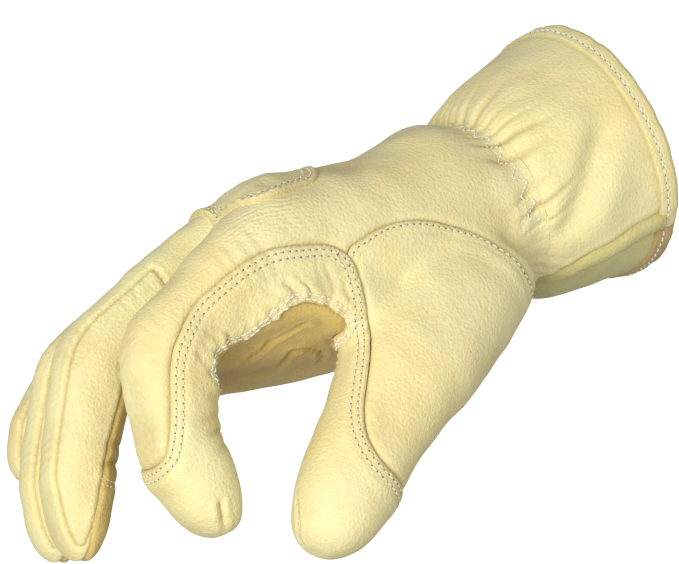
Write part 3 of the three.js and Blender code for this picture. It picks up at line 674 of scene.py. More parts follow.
def chained(links, place):
    lines = []
    seen = set()
    starts = [k for k, v in links.items() if len(v) == 1] + list(links)
    for start in starts:
        if start in seen:
            continue
        line = [start]
        seen.add(start)
        while True:
            after = [k for k in links[line[-1]] if k not in seen]
            if not after:
                break
            seen.add(after[0])
            line.append(after[0])
        if len(line) > 3:
            closed = line[0] in links[line[-1]] and len(line) > 8
            if closed:
                line.append(line[0])
            lines.append(np.array([place[k] for k in line]))
    return lines


def evened(line, step):
    length = np.concatenate([[0], np.cumsum(np.linalg.norm(np.diff(line, axis=0), axis=1))])
    if length[-1] < 2 * step:
        return None
    at = np.linspace(0, length[-1], max(int(length[-1] / step), 2) + 1)
    return np.stack([np.interp(at, length, line[:, k]) for k in range(3)], 1)


def softened(line, times=8):
    line = line.copy()
    closed = np.linalg.norm(line[0] - line[-1]) < 1e-6
    for _ in range(times):
        if closed:
            ring = line[:-1]
            ring = ring * 0.5 + (np.roll(ring, 1, 0) + np.roll(ring, -1, 0)) * 0.25
            line = np.vstack([ring, ring[:1]])
        else:
            line[1:-1] = line[1:-1] * 0.5 + (line[:-2] + line[2:]) * 0.25
    return line


class Skin:
    """Surface that sewn lines are laid on."""

    def __init__(self, points, faces):
        self.tree = BVHTree.FromPolygons(points.tolist(), faces.tolist())

    def on(self, points):
        spots = []
        ways = []
        for p in points:
            spot, way, _, _ = self.tree.find_nearest(Vector(p))
            spots.append(spot[:])
            ways.append(way[:])
        return np.array(spots), np.array(ways)


THREAD_LIFT = 0.03
HOLE_RADIUS = 0.30
THREADS = {"plain": [], "white": []}
HOLES = []


# thread stitches with small holes between them, drawn as dark discs of painted shade; one that is exact
# keeps its line as given
def sew(line, skin, pitch=2.1, length=0.66, thick_by=0.25, holes=True, exact=False, kind="plain"):
    if not exact:
        line = evened(softened(evened(line, 0.4)), 0.15)
    if line is None:
        return
    run = np.concatenate([[0], np.cumsum(np.linalg.norm(np.diff(line, axis=0), axis=1))])
    count = max(int(round(run[-1] / pitch)), 1)
    start = np.arange(count) * run[-1] / count
    part = run[-1] / count
    at = start[:, None] + part * (0.5 + length * np.linspace(-0.5, 0.5, 7)[None])
    spots = np.stack([np.interp(at.ravel(), run, line[:, k]) for k in range(3)], 1)
    spots, ways = skin.on(spots)
    spots = spots.reshape(count, 7, 3)
    ways = unit(ways.reshape(count, 7, 3).mean(1))
    hump = np.array([-0.55, 0.25, 0.75, 0.9, 0.75, 0.25, -0.55])
    width = np.array([0.55, 0.85, 1.0, 1.0, 1.0, 0.85, 0.55])
    for k in range(count):
        up = ways[k]
        body = spots[k] + up * (hump[:, None] * thick_by + THREAD_LIFT)
        way = unit(body[-1] - body[0])
        side = unit(np.cross(way, up))
        skew = rng.normal(0, 0.04)
        side = unit(side + way * skew)
        THREADS[kind].append((body, side, up, width * thick_by))
    if holes:
        spots = np.stack([np.interp(start, run, line[:, k]) for k in range(3)], 1)
        spots, ways = skin.on(spots)
        for spot, up in zip(spots, ways):
            HOLES.append((spot, up, HOLE_RADIUS))


def thread_mesh(kind):
    points = []
    faces = []
    sides = 6
    t = np.arange(sides) * 2 * math.pi / sides
    count = 0
    ring_faces = []
    for i in range(6):
        for k in range(sides):
            n = (k + 1) % sides
            a = i * sides
            ring_faces.append((a + k, a + n, a + sides + n))
            ring_faces.append((a + k, a + sides + n, a + sides + k))
    for k in range(1, sides - 1):
        ring_faces.append((0, k + 1, k))
        ring_faces.append((6 * sides, 6 * sides + k, 6 * sides + k + 1))
    ring_faces = np.array(ring_faces)
    for body, side, up, width in THREADS[kind]:
        ring = np.cos(t)[None, :, None] * side + np.sin(t)[None, :, None] * up * 0.8
        points.append((body[:, None] + ring * width[:, None, None]).reshape(-1, 3))
        faces.append(ring_faces + count)
        count += 7 * sides
    return np.vstack(points), np.vstack(faces)


def hole_shade_mesh():
    points = []
    faces = []
    sides = 8
    t = np.arange(sides) * 2 * math.pi / sides
    fan = []
    for k in range(sides):
        n = (k + 1) % sides
        fan.append((0, 1 + k, 1 + n))
        fan.append((1 + sides, 1 + n, 1 + k))
    fan = np.array(fan)
    count = 0
    # a small dark disc over each stitch hole, painted shade for the hole
    for spot, up, size in HOLES:
        side = unit(np.cross(up, [0.3, 0.5, 0.81]))
        other = np.cross(up, side)
        ring = np.outer(np.cos(t), side) + np.outer(np.sin(t), other)
        points.append(np.vstack([spot + up * 0.12, spot + ring * size + up * 0.02, spot - up * 0.3]))
        faces.append(fan + count)
        count += sides + 2
    return np.vstack(points), np.vstack(faces)


# Folds and creases of the worn leather
# width and depth in mm; each row runs through places in the palm's shares (along, across, up)
CREASES = [
    (0.55, -0.20, [(0.96, -0.47, 0.13), (0.91, -0.49, 0.05), (0.86, -0.49, -0.05), (0.84, -0.49, -0.08)]),
    (0.55, -0.22, [(0.90, -0.47, 0.11), (0.87, -0.49, 0.04), (0.84, -0.49, -0.04)]),
    (0.55, -0.22, [(1.12, -0.44, 0.06), (1.07, -0.48, 0.05), (1.01, -0.50, 0.02), (0.96, -0.50, -0.02)]),
    (0.55, -0.20, [(1.15, -0.44, 0.04), (1.09, -0.48, 0.02), (1.01, -0.50, -0.02), (0.94, -0.50, -0.05)]),
    (0.55, -0.20, [(1.07, -0.42, 0.13), (1.02, -0.47, 0.10), (0.95, -0.50, 0.04), (0.89, -0.49, -0.03)]),
    (0.50, -0.18, [(1.10, -0.43, 0.09), (1.04, -0.47, 0.07), (0.99, -0.50, 0.03)]),
    (0.50, -0.18, [(0.86, -0.46, 0.13), (0.83, -0.48, 0.05), (0.82, -0.48, -0.04)]),
    (0.90, -0.55, [(0.84, -0.48, -0.16), (0.83, -0.49, -0.24), (0.82, -0.48, -0.37)]),
    (0.80, -0.45, [(0.86, -0.48, -0.14), (0.86, -0.49, -0.22), (0.85, -0.49, -0.32)]),
    (0.80, -0.45, [(0.78, -0.49, -0.27), (0.79, -0.49, -0.33), (0.78, -0.48, -0.40)]),
    (1.10, -1.00, [(0.99, -0.49, -0.22), (0.96, -0.49, -0.28), (0.93, -0.47, -0.35)]),
    (0.80, -0.60, [(0.94, -0.49, -0.23), (0.91, -0.49, -0.28), (0.90, -0.48, -0.34)]),
    (0.90, -0.35, [(1.08, -0.50, -0.21), (1.03, -0.49, -0.28), (0.98, -0.48, -0.34)]),
    (0.80, -0.45, [(1.29, -0.50, -0.37), (1.25, -0.49, -0.42), (1.21, -0.47, -0.46)]),
    (0.70, -0.40, [(1.26, -0.50, -0.36), (1.22, -0.49, -0.40), (1.18, -0.45, -0.44)]),
    (0.80, -0.45, [(1.33, -0.50, -0.46), (1.31, -0.50, -0.51), (1.29, -0.48, -0.56)]),
    (0.70, -0.30, [(1.16, -0.49, -0.33), (1.12, -0.46, -0.38), (1.09, -0.44, -0.43)]),
    (1.10, -1.30, [(0.875, -0.422, -0.435), (0.799, -0.311, -0.507), (0.723, -0.208, -0.582)]),
    (1.00, -1.20, [(0.886, -0.059, -0.626), (0.898, -0.154, -0.588), (0.895, -0.228, -0.552),
                   (0.844, -0.223, -0.562), (0.783, -0.188, -0.585), (0.733, -0.147, -0.609)]),
    (0.90, -0.90, [(0.783, -0.188, -0.585), (0.750, -0.120, -0.615), (0.735, -0.040, -0.645)]),
    (1.10, -1.20, [(0.886, -0.406, -0.438), (0.936, -0.345, -0.455), (0.994, -0.304, -0.489),
                   (1.037, -0.226, -0.541), (1.075, -0.171, -0.569)]),
    (0.80, -0.50, [(0.99, -0.38, -0.43), (1.01, -0.31, -0.48), (1.01, -0.22, -0.54)]),
    (0.80, -0.50, [(1.08, -0.38, -0.45), (1.07, -0.30, -0.50), (1.04, -0.22, -0.54)]),
    (0.60, -0.40, [(1.27, -0.15, 0.02), (1.26, -0.16, 0.00), (1.25, -0.18, -0.05)]),
    (0.60, -0.40, [(1.35, -0.14, -0.05), (1.34, -0.15, -0.07), (1.34, -0.17, -0.13)]),
    (0.60, -0.35, [(1.32, -0.15, -0.02), (1.31, -0.16, -0.04), (1.29, -0.18, -0.09)]),
    (0.60, -0.35, [(1.39, -0.14, -0.10), (1.38, -0.17, -0.15), (1.36, -0.18, -0.18)]),
    (0.85, -1.60, [(1.352, -0.483, -1.175), (1.352, -0.480, -1.214), (1.349, -0.464, -1.273),
                   (1.331, -0.409, -1.342)]),
    (0.70, -0.60, [(1.090, -0.478, -1.21), (1.108, -0.490, -1.275), (1.121, -0.503, -1.321),
                   (1.131, -0.506, -1.392), (1.128, -0.481, -1.464), (1.102, -0.478, -1.548)]),
    (0.90, -0.40, [(0.05, -0.39, -0.03), (0.05, -0.37, -0.18), (0.09, -0.42, -0.34)]),
]


# soft rises and hollows: place in the palm's shares, size and height in mm
BULGES = [
    ((0.330, -0.220, 0.390), 9.0, 1.9), ((0.330, 0.080, 0.400), 12.0, 1.2),
    ((0.606, -0.323, 0.302), 6.0, -0.7), ((0.600, -0.050, 0.370), 8.0, -0.6),
    ((1.030, -0.300, 0.130), 6.0, 0.5), ((0.500, -0.460, -0.350), 11.0, 0.6),
    ((1.100, -0.060, -0.640), 9.0, -1.6), ((0.880, -0.040, -0.640), 5.0, 0.7),
    ((0.950, -0.060, -0.630), 3.5, -0.9), ((0.800, -0.040, -0.650), 5.0, -0.6),
]


# distance to a short run of places and the share along it
def run_distance(points, run):
    run = np.asarray(run, float)
    best = np.full(len(points), 1e9)
    where = np.zeros(len(points))
    for i in range(len(run) - 1):
        a = run[i]
        ab = run[i + 1] - a
        t = np.clip(((points - a) @ ab) / (ab @ ab), 0, 1)
        d = np.linalg.norm(points - a - t[:, None] * ab, axis=1)
        closer = d < best
        best[closer] = d[closer]
        where[closer] = (i + t[closer]) / (len(run) - 1)
    return best, where


def creased(hand):
    total = np.zeros(len(hand))
    for width, depth, shares in CREASES:
        run = [palm_place(s) for s in shares]
        far, where = run_distance(hand, run)
        taper = smooth(where / 0.2) * smooth((1 - where) / 0.2)
        sharp = 0.6 * np.exp(-far / (0.7 * width)) + 0.4 * bump_at(far, width)
        valley = sharp - 0.30 * bump_at(far - 2.0 * width, width)
        total += depth * taper * valley
    return total


# small folds that the wrist's elastic draws in, for angles in degrees and places along the arm
def wrist_gathers(angle, along):
    wave = angle + 4.0 * np.sin(np.radians(angle * 3.1)) + 2.5 * np.sin(np.radians(angle * 7.3 + 40))
    drift = wave + along * 0.5 * np.sin(np.radians(angle * 4.3))
    fold = 1 - np.abs(np.sin(np.radians(drift * 180 / 10.4)))
    fine = 1 - np.abs(np.sin(np.radians(drift * 180 / 5.7 + 60)))
    uneven = 0.72 + 0.28 * np.sin(np.radians(angle * 9.7 + 20))
    reach = 4.5 + 6.5 * uneven
    near = np.exp(-(np.maximum(along + 3.0, 0) / reach) ** 1.7)
    near *= np.exp(-(np.maximum(-along - 4.0, 0) / 4.5) ** 1.5)
    back = smooth((np.cos(np.radians(angle - 95)) + 0.30) / 0.35)
    depth = (-2.3 * fold ** 1.5 - 0.5 * fine) * uneven
    return (depth * (0.25 + 0.75 * back) + 0.55) * near


def wrist_waist(along):
    return -1.35 * np.exp(-((along + 3.0) / 4.5) ** 2)


def angle_round(points):
    return np.degrees(np.arctan2(points[:, 2], points[:, 1])) % 360


# The hand's skin
def hand_skin():
    angles = 2 * math.pi * (np.arange(96) + 0.5) / 96
    before = [cuff_ring(x / CUFF_LENGTH, angles) for x in (7.0, 5.0, 3.0, 1.0)]
    limbs = {name: finger_limb(name) for name in FINGERS}
    limbs["thumb"] = thumb_limb()
    limbs["web"] = web_limb()
    limbs["palm"] = palm_limb()
    meshes = [limb_mesh(one, 48) for name, one in limbs.items() if name != "palm"]
    meshes.append(limb_mesh(limbs["palm"], 96, before))
    points, faces = even_skin(meshes, VOXEL)
    return points, faces, limbs


# how soft the crease between two limbs is, in mm
SOFT = {
    ("index", "palm"): 11, ("middle", "palm"): 6, ("ring", "palm"): 6, ("little", "palm"): 6,
    ("palm", "thumb"): 16, ("palm", "web"): 12, ("thumb", "web"): 13, ("index", "web"): 12,
}


def blend_of(places):
    total = np.zeros(len(places["palm"]["out"]))
    for (a, b), soft in SOFT.items():
        u = places[a]["out"]
        v = places[b]["out"]
        near = smooth(1 - np.abs(u - v) / soft) * smooth(1 - (np.maximum(u, v) - soft * 0.5) / soft)
        total = np.maximum(total, near)
    return total


def fold_field(points, hand, places, own):
    along = points[:, 0]
    angle = angle_round(points)
    out = waves(points, 26, 3) * 0.16 + waves(points, 11, 4) * 0.07
    at_wrist = smooth((along + 26) / 20)
    out += wrist_gathers(angle, along) * at_wrist + wrist_waist(along) * at_wrist
    out += creased(hand)
    for place, size, height in BULGES:
        away = np.linalg.norm(hand - palm_place(place), axis=1)
        out += height * np.exp(-(away / size) ** 2)
    for name in FINGERS:
        spot = places[name]
        mine = own == name
        bones = FINGERS[name]["bones"]
        size = 0.55 if name == "index" else 0.8
        side = smooth((np.abs(spot["u"]) - 0.5) / 0.4) * smooth((0.26 - spot["share"]) / 0.08)
        for shift in (0.09, 0.13, 0.175, 0.21):
            out -= mine * side * 0.22 * bump_at(spot["share"] - shift + 0.03 * spot["v"], 0.008)
        for k, joint in enumerate((bones[0], bones[0] + bones[1])):
            inner = smooth((-spot["v"] - 0.1) / 0.7)
            wavy = 0.010 * np.sin(spot["u"] * 5 + k)
            for shift, deep in ((-0.055, 0.7), (0.0, 1.0), (0.06, 0.6)):
                out -= mine * inner * size * deep * bump_at(spot["share"] - joint - shift - wavy, 0.014)
            top = smooth((spot["v"] - 0.2) / 0.6)
            for shift in (-0.035, -0.012, 0.012, 0.035):
                out -= mine * top * 0.17 * bump_at(spot["share"] - joint - shift - wavy, 0.007)
    return out


def region_fields(points, hand, places, own):
    sideways = hand[:, [0, 2]] * [-1, 1]
    across = hand[:, [1, 2]]
    grip = rounded([(u * PALM_LENGTH, v * PALM_DEPTH) for u, v in GRIP_EDGE])
    edge = outline_distance(sideways, grip)
    y = hand[:, 1]
    z = hand[:, 2]
    near = np.maximum(edge, y - GRIP_NEAR * PALM_WIDTH)
    wrap = np.maximum(np.maximum(edge, y - GRIP_WRAP * PALM_WIDTH), z - GRIP_DEEP_FROM * PALM_DEPTH)
    arch = outline_distance(sideways, rounded([(u * PALM_LENGTH, v * PALM_DEPTH) for u, v in WEB_ARCH]))
    arch = np.maximum(arch, y - GRIP_WRAP * PALM_WIDTH)
    wrap = np.maximum(wrap, np.minimum(places["thumb"]["out"] - places["palm"]["out"], 4.0))
    fields = {"grip": np.maximum(np.minimum(near, wrap), -arch)}
    thumb = rounded([(u * PALM_LENGTH, v * PALM_DEPTH) for u, v in THUMB_EDGE])
    on_palm = np.clip(places["thumb"]["out"] - places["palm"]["out"], -4, 4)
    under = np.minimum.reduce([on_palm, y + 0.30 * PALM_WIDTH, sideways[:, 0] - 0.60 * PALM_LENGTH])
    thumb_field = np.maximum(outline_distance(sideways, thumb), y - THUMB_FAR * PALM_WIDTH)
    fields["thumb"] = np.maximum(thumb_field, under)
    side = outline_distance(across, [(u * PALM_WIDTH, v * PALM_DEPTH) for u, v in SIDE_SEAM])
    back = side
    for name in FINGERS:
        spot = places[name]
        mine = own == name
        low = BACK_OF_FINGER[name] - (0.25 * smooth((spot["share"] - 0.8) / 0.1) if name != "index" else 0)
        height = (low - spot["v"]) * spot["deep"]
        above = smooth((spot["share"] + 0.06) / 0.12)
        fingers = height * above + back * (1 - above)
        back = np.where(mine, fingers, back)
    wrist_part = outline_distance(sideways, [(u * PALM_LENGTH, v * PALM_DEPTH) for u, v in BACK_AT_WRIST])
    fields["back"] = np.minimum(back, np.maximum(wrist_part, y - WRIST_FAR * PALM_WIDTH))
    soft = np.zeros(len(points))
    strips = (("index", "middle", "f1"), ("middle", "ring", "f2"), ("ring", "little", "f3"))
    for a, b, key in strips:
        value = np.full(len(points), 4.0)
        for name, way in ((a, 1), (b, -1)):
            spot = places[name]
            share = np.clip(spot["share"], STRIP_START, STRIP_END)
            top = eased(STRIP, 1, share) * STRIP_BACK[name]
            low = eased(STRIP, 2, share)
            start = spot["wide"] * (STRIP_INSIDE - spot["u"] * way)
            length = FINGERS[name]["length"]
            ends = np.maximum(STRIP_START - spot["share"], spot["share"] - STRIP_END) * length
            mine = np.maximum.reduce([start, (spot["v"] - top) * spot["deep"],
                                      (low - spot["v"]) * spot["deep"], ends])
            value = np.where(own == name, mine, value)
            below = smooth((top - spot["v"]) * spot["deep"] / 1.5) * smooth((3.0 - start) / 2.0)
            blunt = bump_at((spot["share"] - STRIP_START) * length, 1.3) * below
            start_fade = smooth((0.13 - spot["share"]) / 0.05) * below
            soft = np.where(own == name, np.maximum.reduce([soft, blunt, start_fade]), soft)
        fields[key] = value
    fields["soft"] = soft
    flat = np.stack([-hand[:, 0], hand[:, 1]], 1)
    patch = rounded([(u * PALM_LENGTH, v * PALM_WIDTH) for u, v in PATCH_EDGE], 3)
    fields["patch"] = np.maximum(outline_distance(flat, patch), PATCH_LOW * PALM_DEPTH - z)
    fields["wrist"] = points[:, 0] + 0.02
    return fields


def make_base():
    points, faces, limbs = hand_skin()
    edges = edges_of(faces)
    points = calm(points, edges, 5)
    places = {name: measured(one, points) for name, one in limbs.items()}
    blend = blend_of(places)
    blend *= smooth((-points[:, 0] - 4) / 12)
    points = relaxed(points, edges, blend, 45, 0.6)
    points = calm(points, edges, 3)
    places = {name: measured(one, points) for name, one in limbs.items()}
    names = list(limbs)
    own = np.array(names)[np.argmin(np.stack([places[n]["out"] for n in names]), 0)]
    hand = in_hand(points)
    normals = normals_of(points, faces)
    data = region_fields(points, hand, places, own)
    move = fold_field(points, hand, places, own) - SKIN_IN
    at_wrist = smooth((points[:, 0] + 26) / 20)
    data["fold"] = move - wrist_waist(points[:, 0]) * at_wrist
    shaped = points + normals * move[:, None]
    data["normal"] = normals_of(shaped, faces)
    return shaped, faces, data, limbs


PANEL_ORDER = [
    ("fourchette_index_middle", "f1"), ("fourchette_middle_ring", "f2"),
    ("fourchette_ring_little", "f3"), ("grip_panel", "grip"), ("thumb_panel", "thumb"),
    ("back_panel", "back"),
]


def cut_panels(points, faces, data):
    kept, _ = parted(points, faces, data, "wrist")
    rest = main_patches(*kept)
    panels = {}
    for name, key in PANEL_ORDER:
        inside, rest = parted(*rest, key)
        panels[name] = main_patches(*inside)
    panels["palm_panel"] = main_patches(*rest)
    return panels


# how each panel meets its neighbours: over lies on top, under goes beneath, turned is sewn inside
def meeting(name, other):
    if name == "grip_panel":
        return "rim" if other == "palm_panel" else "over"
    if other == "grip_panel":
        return "under"
    if name == "thumb_panel" and other == "back_panel":
        return "over"
    if name == "back_panel" and other == "thumb_panel":
        return "under"
    return "turned"


def edge_height(kind, d):
    if kind == "over":
        rise = 0.70 * np.sqrt(np.clip(d / 0.6, 0, 1)) - 0.35 * smooth((d - 3.5) / 6)
        rows = 0.20 * bump_at(d - 1.5, 0.45) + 0.20 * bump_at(d - 3.3, 0.45)
        return rise - rows + 0.12 * bump_at(d - 2.4, 0.5) + 0.12 * bump_at(d - 5.2, 1.4)
    if kind == "under":
        return -0.60 * (1 - smooth(d / 1.6)) + 0.10 * bump_at(d - 3.0, 1.5)
    if kind == "rim":
        rise = 1.2 * np.sqrt(np.clip(d / 0.8, 0, 1)) - 0.6 * smooth((d - 3.4) / 4)
        return rise - 0.25 * bump_at(d - 1.4, 0.5) - 0.2 * bump_at(d - 3.0, 0.5)
    return -0.50 * bump_at(d, 0.5) + 0.18 * bump_at(d - 1.5, 0.9)


def shape_edges(panels):
    samples = {n: rim_samples(p, f) for n, (p, f, _) in panels.items()}
    trees = {n: tree_of(s) for n, s in samples.items()}
    shaped = {}
    for name, (points, faces, data) in panels.items():
        mine = samples[name]
        owner = np.full(len(mine), -1)
        best = np.full(len(mine), 0.35)
        others = [n for n in panels if n != name]
        for i, other in enumerate(others):
            d, _ = distances(trees[other], mine)
            closer = d < best
            best[closer] = d[closer]
            owner[closer] = i
        height = np.zeros(len(points))
        weight = np.zeros(len(points)) + 1e-6
        seams = {}
        for i, other in enumerate(others):
            if not (owner == i).any():
                continue
            d, _ = distances(tree_of(mine[owner == i]), points)
            seams[other] = d
            kind = meeting(name, other)
            near = np.exp(-d / 1.5) + 1e-7
            height += edge_height(kind, d) * near
            weight += near
        height /= weight
        if name == "grip_panel":
            d = seams["palm_panel"]
            pucker = waves(points, 4.6, 31) * 0.42 + waves(points, 2.4, 32) * 0.16
            height += pucker * np.exp(-(np.maximum(d - 1.5, 0) / 3.0) ** 2)
        height *= smooth((-points[:, 0] - 0.5) / 4) * (1 - data["soft"])
        data = dict(data)
        data.update({"to " + k: v for k, v in seams.items()})
        shaped[name] = (points + data["normal"] * height[:, None], faces, data)
    return shaped


# Making pieces
def piece(name, points, faces, material, nodes=(), sharp=50, painted_shade=None, lines=None):
    thing = object_of(name, np.asarray(points) * MM, faces)
    mesh = thing.data
    mesh.polygons.foreach_set("use_smooth", np.ones(len(mesh.polygons), bool))
    mesh.set_sharp_from_angle(angle=math.radians(sharp))
    # painted shade: a per-point share of darkening towards the shade colour, read by the leather's shader
    if painted_shade is not None:
        layer = mesh.attributes.new("painted_shade", "FLOAT", "POINT")
        layer.data.foreach_set("value", np.asarray(painted_shade, np.float32))
    if lines is not None:
        for key, values in zip(("line_at", "line_by"), lines):
            layer = mesh.attributes.new(key, "FLOAT", "POINT")
            layer.data.foreach_set("value", np.asarray(values, np.float32))
    mesh.materials.append(material)
    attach(thing, "root")
    if nodes:
        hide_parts(*nodes)
    return thing


# Materials
class Wire:
    """A shader value that adds, subtracts and multiplies like a number."""

    def __init__(self, tree, socket):
        self.tree = tree
        self.socket = socket

    def maths(self, operation, *values):
        node = self.tree.nodes.new("ShaderNodeMath")
        node.operation = operation
        for slot_in, value in zip(node.inputs, values):
            feed(self.tree, slot_in, value)
        return Wire(self.tree, node.outputs[0])

    def __add__(self, other):
        return self.maths("ADD", self, other)

    def __radd__(self, other):
        return self.maths("ADD", other, self)

    def __sub__(self, other):
        return self.maths("SUBTRACT", self, other)

    def __rsub__(self, other):
        return self.maths("SUBTRACT", other, self)

    def __mul__(self, other):
        return self.maths("MULTIPLY", self, other)

    def __rmul__(self, other):
        return self.maths("MULTIPLY", other, self)

    def __pow__(self, other):
        return self.maths("POWER", self, other)

    def limited(self):
        return self.maths("MINIMUM", self.maths("MAXIMUM", self, 0.0), 1.0)


def feed(tree, slot_in, value):
    if isinstance(value, Wire):
        tree.links.new(value.socket, slot_in)
    else:
        slot_in.default_value = value


class Finish:
    """One material and the nodes it is drawn with."""

    def __init__(self, name):
        self.material = bpy.data.materials.new(name)
        self.material.use_nodes = True
        self.tree = self.material.node_tree
        self.shader = self.tree.nodes["Principled BSDF"]

    def node(self, kind, settings=None, values=None, output=0):
        made = self.tree.nodes.new(kind)
        for key, value in (settings or {}).items():
            setattr(made, key, value)
        for key, value in (values or {}).items():
            feed(self.tree, made.inputs[key], value)
        return Wire(self.tree, made.outputs[output])

    def mixed(self, share, a, b):
        settings = {"data_type": "RGBA", "blend_type": "MIX"}
        values = {0: share, 6: a, 7: b}
        return self.node("ShaderNodeMix", settings, values, 2)

    def noise(self, scale, detail=3.0, rough=0.5, where=None):
        values = {"Scale": scale, "Detail": detail, "Roughness": rough}
        if where is not None:
            values["Vector"] = where
        return self.node("ShaderNodeTexNoise", None, values)

    def cells(self, scale, where, feature="F1"):
        return self.node("ShaderNodeTexVoronoi", {"feature": feature}, {"Scale": scale, "Vector": where})

    def here(self):
        return self.node("ShaderNodeTexCoord", None, None, 3)

    def value_of(self, name):
        return self.node("ShaderNodeAttribute", {"attribute_name": name}, None, 2)

    def bump(self, height, distance, strength=1.0, before=None):
        values = {"Height": height, "Distance": distance, "Strength": strength}
        if before is not None:
            values["Normal"] = before
        return self.node("ShaderNodeBump", None, values)

    def put(self, key, value):
        feed(self.tree, self.shader.inputs[key], value)


def leather(name, plain, warm, shade, pale, rough=0.56):
    f = Finish(name)
    where = f.here()
    patches = f.noise(38.0, 3.0, 0.55, where)
    fine = f.noise(640.0, 4.0, 0.6, where)
    # painted shade from the mesh: darker in folds, seam grooves, the hem's tucked rows and on the glove's
    # inside
    painted_shade = f.value_of("painted_shade")
    drift = ((patches - 0.5) * 2.4 + 0.25).limited()
    cool = ((f.noise(24.0, 2.0, 0.5, where) - 0.5) * 3.0).limited()
    colour = f.mixed(cool * 0.6, f.mixed(drift * 0.75, plain, warm), pale)
    # mix towards the shade colour: painted shade from the attribute, plus random darker mottling from the
    # fine noise
    deep = (painted_shade * 0.9 + (fine - 0.5) * 0.3).limited()
    colour = f.mixed(deep, colour, shade)
    grain = f.cells(1150.0, where)
    pebble = (grain * 1.25).limited()
    colour = f.mixed((1.0 - pebble) * 0.10, colour, shade)
    f.put("Base Color", colour)
    f.put("Roughness", rough + (fine - 0.5) * 0.16)
    crackle = f.cells(760.0, where, "DISTANCE_TO_EDGE") * 6.0
    creases = f.bump(crackle.limited(), 0.00010, 0.4)
    broad = f.noise(150.0, 2.0, 0.5, where)
    line_at = f.value_of("line_at") * 4.6 + (patches - 0.5) * 10.0 + (broad - 0.5) * 12.0
    lines = line_at.maths("SINE", line_at) * f.value_of("line_by") * (broad * 2.4 - 0.7).limited()
    creases = f.bump(lines, 0.00009, 0.8, creases)
    pores = f.bump(pebble + fine * 1.1, 0.00018, 0.6, creases)
    f.put("Normal", pores)
    f.put("Specular IOR Level", 0.32)
    f.put("Sheen Weight", 0.08)
    f.put("Sheen Roughness", 0.5)
    f.put("Subsurface Weight", 0.06)
    f.put("Subsurface Radius", (0.004, 0.0025, 0.0012))
    f.put("Subsurface Scale", 0.6)
    return f.material


def thread_finish(name, plain, shade):
    f = Finish(name)
    where = f.here()
    twist = f.noise(2600.0, 2.0, 0.5, where)
    f.put("Base Color", f.mixed(twist * 0.5, plain, shade))
    f.put("Roughness", 0.75)
    f.put("Normal", f.bump(twist, 0.0001, 0.5))
    return f.material


def hole_shade_finish():
    f = Finish("needle hole shade")
    # painted shade: a dark brownish grey for the shade inside each stitch hole
    f.put("Base Color", (0.190, 0.170, 0.130, 1))
    f.put("Roughness", 0.9)
    return f.material


def floor_finish():
    f = Finish("pale floor")
    f.put("Base Color", (0.80, 0.80, 0.80, 1))
    f.put("Roughness", 0.8)
    return f.material


def screen_finish():
    f = Finish("white screen")
    f.put("Base Color", (1, 1, 1, 1))
    f.put("Emission Color", (1, 1, 1, 1))
    f.put("Emission Strength", 1.0)
    return f.material


CREAM = (0.830, 0.755, 0.390, 1)
WARM = (0.840, 0.650, 0.260, 1)
PALE = (0.790, 0.785, 0.400, 1)
SHADE = (0.480, 0.320, 0.090, 1)
# palm colour: tan leather darkened further with painted shade, for the palm lying in the hand's shade
PALM_TAN_AND_PAINTED_SHADE = (0.600, 0.440, 0.130, 1)
SIDE = (0.800, 0.720, 0.370, 1)
# painted shade: the cuff's front, on its underside, coloured a darker greenish cream
CUFF_FRONT_PAINTED_SHADE = (0.560, 0.520, 0.210, 1)
# painted shade: the hem's front part, on the cuff's underside, coloured a darker tan
HEM_FRONT_PAINTED_SHADE = (0.440, 0.320, 0.130, 1)

cream = leather("cream grain leather", CREAM, WARM, SHADE, PALE)
palm_leather_in_shade = leather("palm grain leather in painted shade", PALM_TAN_AND_PAINTED_SHADE, WARM, SHADE, PALM_TAN_AND_PAINTED_SHADE)
side_cream = leather("finger side leather", SIDE, WARM, SHADE, PALE)
patch_cream = leather("knuckle patch leather", CREAM, WARM, SHADE, PALE)
cuff_cream = leather("cuff leather", CREAM, WARM, SHADE, PALE)
cuff_front_in_shade = leather("cuff front leather in painted shade", CUFF_FRONT_PAINTED_SHADE, CREAM, SHADE, CUFF_FRONT_PAINTED_SHADE)
hem_cream = leather("hem leather", CREAM, WARM, SHADE, PALE)
hem_front_in_shade = leather("hem front leather in painted shade", HEM_FRONT_PAINTED_SHADE, WARM, SHADE, HEM_FRONT_PAINTED_SHADE, 0.65)
thread = thread_finish("cream sewing thread", (0.80, 0.75, 0.50, 1), (0.60, 0.54, 0.32, 1))
white_thread = thread_finish("white sewing thread", (0.86, 0.83, 0.72, 1), (0.66, 0.62, 0.50, 1))
needle_hole_shade = hole_shade_finish()

# Build the hand
base_points, base_faces, base_data, LIMBS = make_base()
panels = shape_edges(cut_panels(base_points, base_faces, base_data))
FINISH = {
    "back_panel": (cream, "cream_leather"),
    "palm_panel": (palm_leather_in_shade, "palm_leather"),
    "grip_panel": (cream, "grip_leather"),
    "thumb_panel": (cream, "cream_leather"),
    "fourchette_index_middle": (side_cream, "side_leather"),
    "fourchette_middle_ring": (side_cream, "side_leather"),
    "fourchette_ring_little": (side_cream, "side_leather"),
}
skins = {}


# painted shade for a panel: darker along its seam grooves and in the hollows of its folds
def seam_and_fold_painted_shade(data):
    near = np.full(len(data["fold"]), 9.0)
    for key, value in data.items():
        if key.startswith("to "):
            near = np.minimum(near, value)
    low = np.clip(-(data["fold"] + SKIN_IN) * 0.6, 0, 0.85)
    return np.clip(0.5 * bump_at(near, 0.45) * (1 - data["soft"]) + low, 0, 1)


